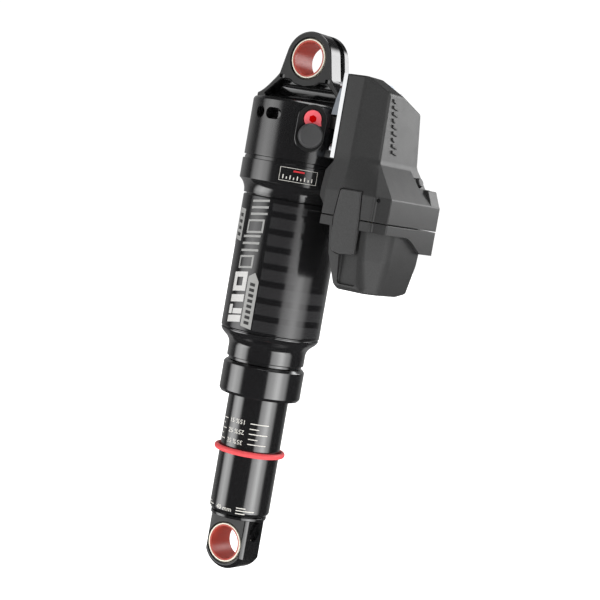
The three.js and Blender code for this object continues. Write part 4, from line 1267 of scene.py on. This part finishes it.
def build_graphics():
    """Plain geometric blocks on the sleeve and a small scale label on the band."""
    radius = SLEEVE_R + 0.01
    bold = [
        sloped(-116.5, -94.5, -104.2, -101.6), sloped(-116.5, -110.5, -101.0, -97.4, 0.3),
        sloped(-109, -94.5, -100.6, -98.6, 0.7), sloped(-116.5, -94.5, -96.4, -93.6),
    ]
    bold += hollow(-116.5, -94.5, -92.2, -84.8, 2.0)
    fine = hollow(-112, -90, -83.2, -78.2, 0.75)
    fine += [sloped(-112, -86, z, z + 0.85) for z in (-76.6, -73.9, -71.2)]
    fine += hollow(-108, -84, -69.4, -64.2, 0.75)
    fine += [sloped(-106, -82, z, z + 0.85) for z in (-62.4, -59.9, -57.4)]
    wrapped("sleeve_blocks", bold, radius, "upper_body", INK_LIGHT, "gloss_black_anodised")
    wrapped("sleeve_lines", fine, radius, "upper_body", INK_MID, "gloss_black_anodised")
    plate = [(-92.5, -104.4), (-78.5, -105.2), (-78.5, -86.8), (-84.5, -83.6), (-92.5, -85.4)]
    box = [(-134.5, -72.4), (-117.5, -72.9), (-117.5, -60.5), (-134.5, -60.2)]
    wrapped("sleeve_plates", [plate, box], radius, "upper_body", INK_MID, "gloss_black_anodised")
    ticks = [sloped(-88.8, -82.2, -103.4 + 2.1 * i, -102.2 + 2.1 * i, -0.2) for i in range(8)]
    ticks += [sloped(-130.5, -121.5, -71.0 + 2.5 * i, -69.7 + 2.5 * i, -0.2) for i in range(4)]
    wrapped("sleeve_ticks", ticks, radius + 0.03, "upper_body", INK_DARK, "gloss_black_anodised")

    label_r = BAND_R + 0.01
    left, right, bottom, top, line = -73.5, -36, -47.4, -42.3, 0.14
    turn = math.degrees(line / BAND_R)
    label = [
        sloped(left, right, bottom, bottom + line, 0), sloped(left, right, top - line, top, 0),
        sloped(left, left + turn, bottom, top, 0), sloped(right - turn, right, bottom, top, 0),
    ]
    for i in range(9):
        place = left + 3.5 + i * 3.6
        tall = 1.5 if i % 2 == 0 else 0.9
        label.append(sloped(place, place + 0.9, bottom + 0.8, bottom + 0.8 + tall, 0))
    wrapped("label_ticks", label, label_r, "upper_body", INK_CREAM, "gloss_black_anodised")
    red = [sloped(-60, -49, -43.7, -43.1, 0)]
    wrapped("label_bar", red, label_r, "upper_body", INK_RED, "gloss_black_anodised")


# ---------- camera, lights and floor ----------
def set_camera():
    azimuth, elevation, roll = math.radians(33.5), math.radians(4.0), math.radians(9.94)
    right = Vector((math.cos(azimuth), math.sin(azimuth), 0))
    level = math.cos(elevation)
    back = Vector((math.sin(azimuth) * level, -math.cos(azimuth) * level, math.sin(elevation)))
    up = back.cross(right)
    leaning_right = right * math.cos(roll) + up * math.sin(roll)
    leaning_up = up * math.cos(roll) - right * math.sin(roll)
    target = Vector((0, 0, -0.092)) + right * 0.00933
    data = bpy.data.cameras.new("camera")
    data.sensor_width = 36
    data.lens = 100.3
    camera = linked("camera", data)
    turn = Matrix((leaning_right, leaning_up, back)).transposed().to_4x4()
    camera.matrix_world = Matrix.Translation(target + back * 0.65) @ turn
    bpy.context.scene.camera = camera


def glowing(panel):
    """Makes a panel an unseen light that throws no shadow. Returns its node tree and emission node."""
    material = bpy.data.materials.new(panel.name)
    material.use_nodes = True
    tree = material.node_tree
    tree.nodes.clear()
    glow = tree.nodes.new("ShaderNodeEmission")
    tree.links.new(glow.outputs[0], tree.nodes.new("ShaderNodeOutputMaterial").inputs["Surface"])
    panel.data.materials.append(material)
    panel.visible_camera = False
    panel.visible_shadow = False
    panel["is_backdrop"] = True
    return tree, glow


def light_panel(name, azimuth, width, radius, bottom, top, strength, across, upward=((0, 1), (1, 1))):
    """A curved panel round the shock's axis. across and upward list (place 0 to 1, brightness)."""
    columns, rows = 24, 6

    def build(form):
        layer = form.loops.layers.uv.new("panel")
        grid = []
        for i in range(columns + 1):
            angle = math.radians(azimuth + width * (i / columns - 0.5))
            x, y = radius * math.cos(angle), radius * math.sin(angle)
            heights = [bottom + (top - bottom) * j / rows for j in range(rows + 1)]
            grid.append([form.verts.new((x, y, z)) for z in heights])
        for i in range(columns):
            for j in range(rows):
                face = form.faces.new([grid[i][j], grid[i + 1][j], grid[i + 1][j + 1], grid[i][j + 1]])
                for loop in face.loops:
                    x, y, z = loop.vert.co
                    turn = (math.degrees(math.atan2(y, x)) - azimuth + 180) % 360 - 180
                    loop[layer].uv = (turn / width + 0.5, (z - bottom) / (top - bottom))

    panel = mesh_piece(name, build)
    panel.data.transform(Matrix.Scale(MM, 4))
    tree, glow = glowing(panel)
    nodes, links = tree.nodes, tree.links
    place = nodes.new("ShaderNodeUVMap")
    place.uv_map = "panel"
    split = nodes.new("ShaderNodeSeparateXYZ")
    links.new(place.outputs[0], split.inputs[0])
    level = strength
    for axis, stops in ((0, across), (1, upward)):
        ramp = nodes.new("ShaderNodeValToRGB")
        ramp.color_ramp.interpolation = "EASE"
        elements = ramp.color_ramp.elements
        elements[0].position, elements[1].position = stops[0][0], stops[-1][0]
        for position, value in stops[1:-1]:
            elements.new(position).color = (value, value, value, 1)
        for element, (position, value) in zip(elements, stops):
            element.color = (value, value, value, 1)
        links.new(split.outputs[axis], ramp.inputs[0])
        level = computed(tree, "MULTIPLY", ramp.outputs[0], level)
    links.new(level, glow.inputs["Strength"])


def light_ceiling():
    """A soft round panel overhead."""
    def build(form):
        bmesh.ops.create_circle(form, cap_ends=True, segments=48, radius=260)

    panel = mesh_piece("ceiling_panel", build)
    panel.data.transform(Matrix.Scale(MM, 4))
    panel.data.transform(Matrix.Translation((0.1, -0.1, 0.75)))
    for polygon in panel.data.polygons:
        polygon.flip()
    glowing(panel)[1].inputs["Strength"].default_value = 2.4


def set_stage():
    floor_z = -0.33

    def build(form):
        bmesh.ops.create_circle(form, cap_ends=True, segments=64, radius=6000)

    floor = mesh_piece("floor", build)
    floor.data.transform(Matrix.Scale(MM, 4))
    floor.data.transform(Matrix.Translation((0, 0, floor_z)))
    material = bpy.data.materials.new("pale_floor")
    material.use_nodes = True
    shader = material.node_tree.nodes["Principled BSDF"]
    shader.inputs["Base Color"].default_value = (0.9, 0.9, 0.9, 1)
    shader.inputs["Roughness"].default_value = 0.9
    shader.inputs["Emission Color"].default_value = (1, 1, 1, 1)
    shader.inputs["Emission Strength"].default_value = 1.0
    floor.data.materials.append(material)
    floor.visible_glossy = False
    floor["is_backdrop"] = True

    world = bpy.data.worlds.new("studio")
    world.use_nodes = True
    bpy.context.scene.world = world
    nodes, links = world.node_tree.nodes, world.node_tree.links
    nodes.clear()
    out = nodes.new("ShaderNodeOutputWorld")
    path = nodes.new("ShaderNodeLightPath")
    level = nodes.new("ShaderNodeBackground")
    level.inputs["Color"].default_value = (1, 1, 1, 1)
    links.new(level.outputs[0], out.inputs["Surface"])
    # white where it is seen, dim in the gloss reflections, a soft fill everywhere else
    total = 0.0
    for output, amount in (("Is Camera Ray", 1.05), ("Is Diffuse Ray", 0.75), ("Is Glossy Ray", 0.045)):
        share = computed(world.node_tree, "MULTIPLY", path.outputs[output], amount)
        total = computed(world.node_tree, "ADD", total, share)
    links.new(total, level.inputs["Strength"])

    fade = ((0, 1), (0.36, 1), (0.48, 0.75), (0.58, 0.55), (0.8, 0.45), (1, 0))
    light_panel("left_panel", -136, 60, 620, -520, 330, 2.7,
                ((0, 0), (0.3, 0.75), (0.5, 1), (0.72, 0.8), (1, 0)), fade)
    light_panel("right_panel", -6, 72, 620, -520, 330, 3.3,
                ((0, 0), (0.05, 0.42), (0.2, 0.6), (0.48, 1), (0.74, 0.5), (1, 0)), fade)
    light_panel("side_key", 57, 46, 400, -75, 290, 4.6,
                ((0, 0), (0.25, 1), (0.75, 1), (1, 0)), ((0, 0), (0.15, 0.8), (0.7, 1), (1, 0)))
    light_panel("backdrop", 130, 130, 900, -700, 500, 0.35,
                ((0, 0.2), (0.25, 1), (0.75, 1), (1, 0.2)))
    light_ceiling()
    bpy.context.scene.view_settings.view_transform = "Standard"


set_camera()
set_stage()
build_head()
build_bushing("upper_bush", "upper_body", "upper_bushing", 0)
build_bushing("lower_bush", "lower_body", "lower_bushing", LOWER_EYE_Z)
build_air_can()
build_damper_body()
build_lower_eyelet()
build_port()
build_module()
for number in (1, 2):
    build_screw(f"plate_bolt_{number}", f"manifold_bolt_{number}", X, 2.8, 2.6, 1.45)
for number in (1, 2, 3, 4):
    build_screw(f"shell_screw_{number}", f"housing_screw_{number}", -X, 2.0, 1.5, 1.0)
build_scale()
build_graphics()

boxes = {"cad_box": cad_box, "visual_box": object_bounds()}
sizes = {name: [list(corner) for corner in box] for name, box in boxes.items()}
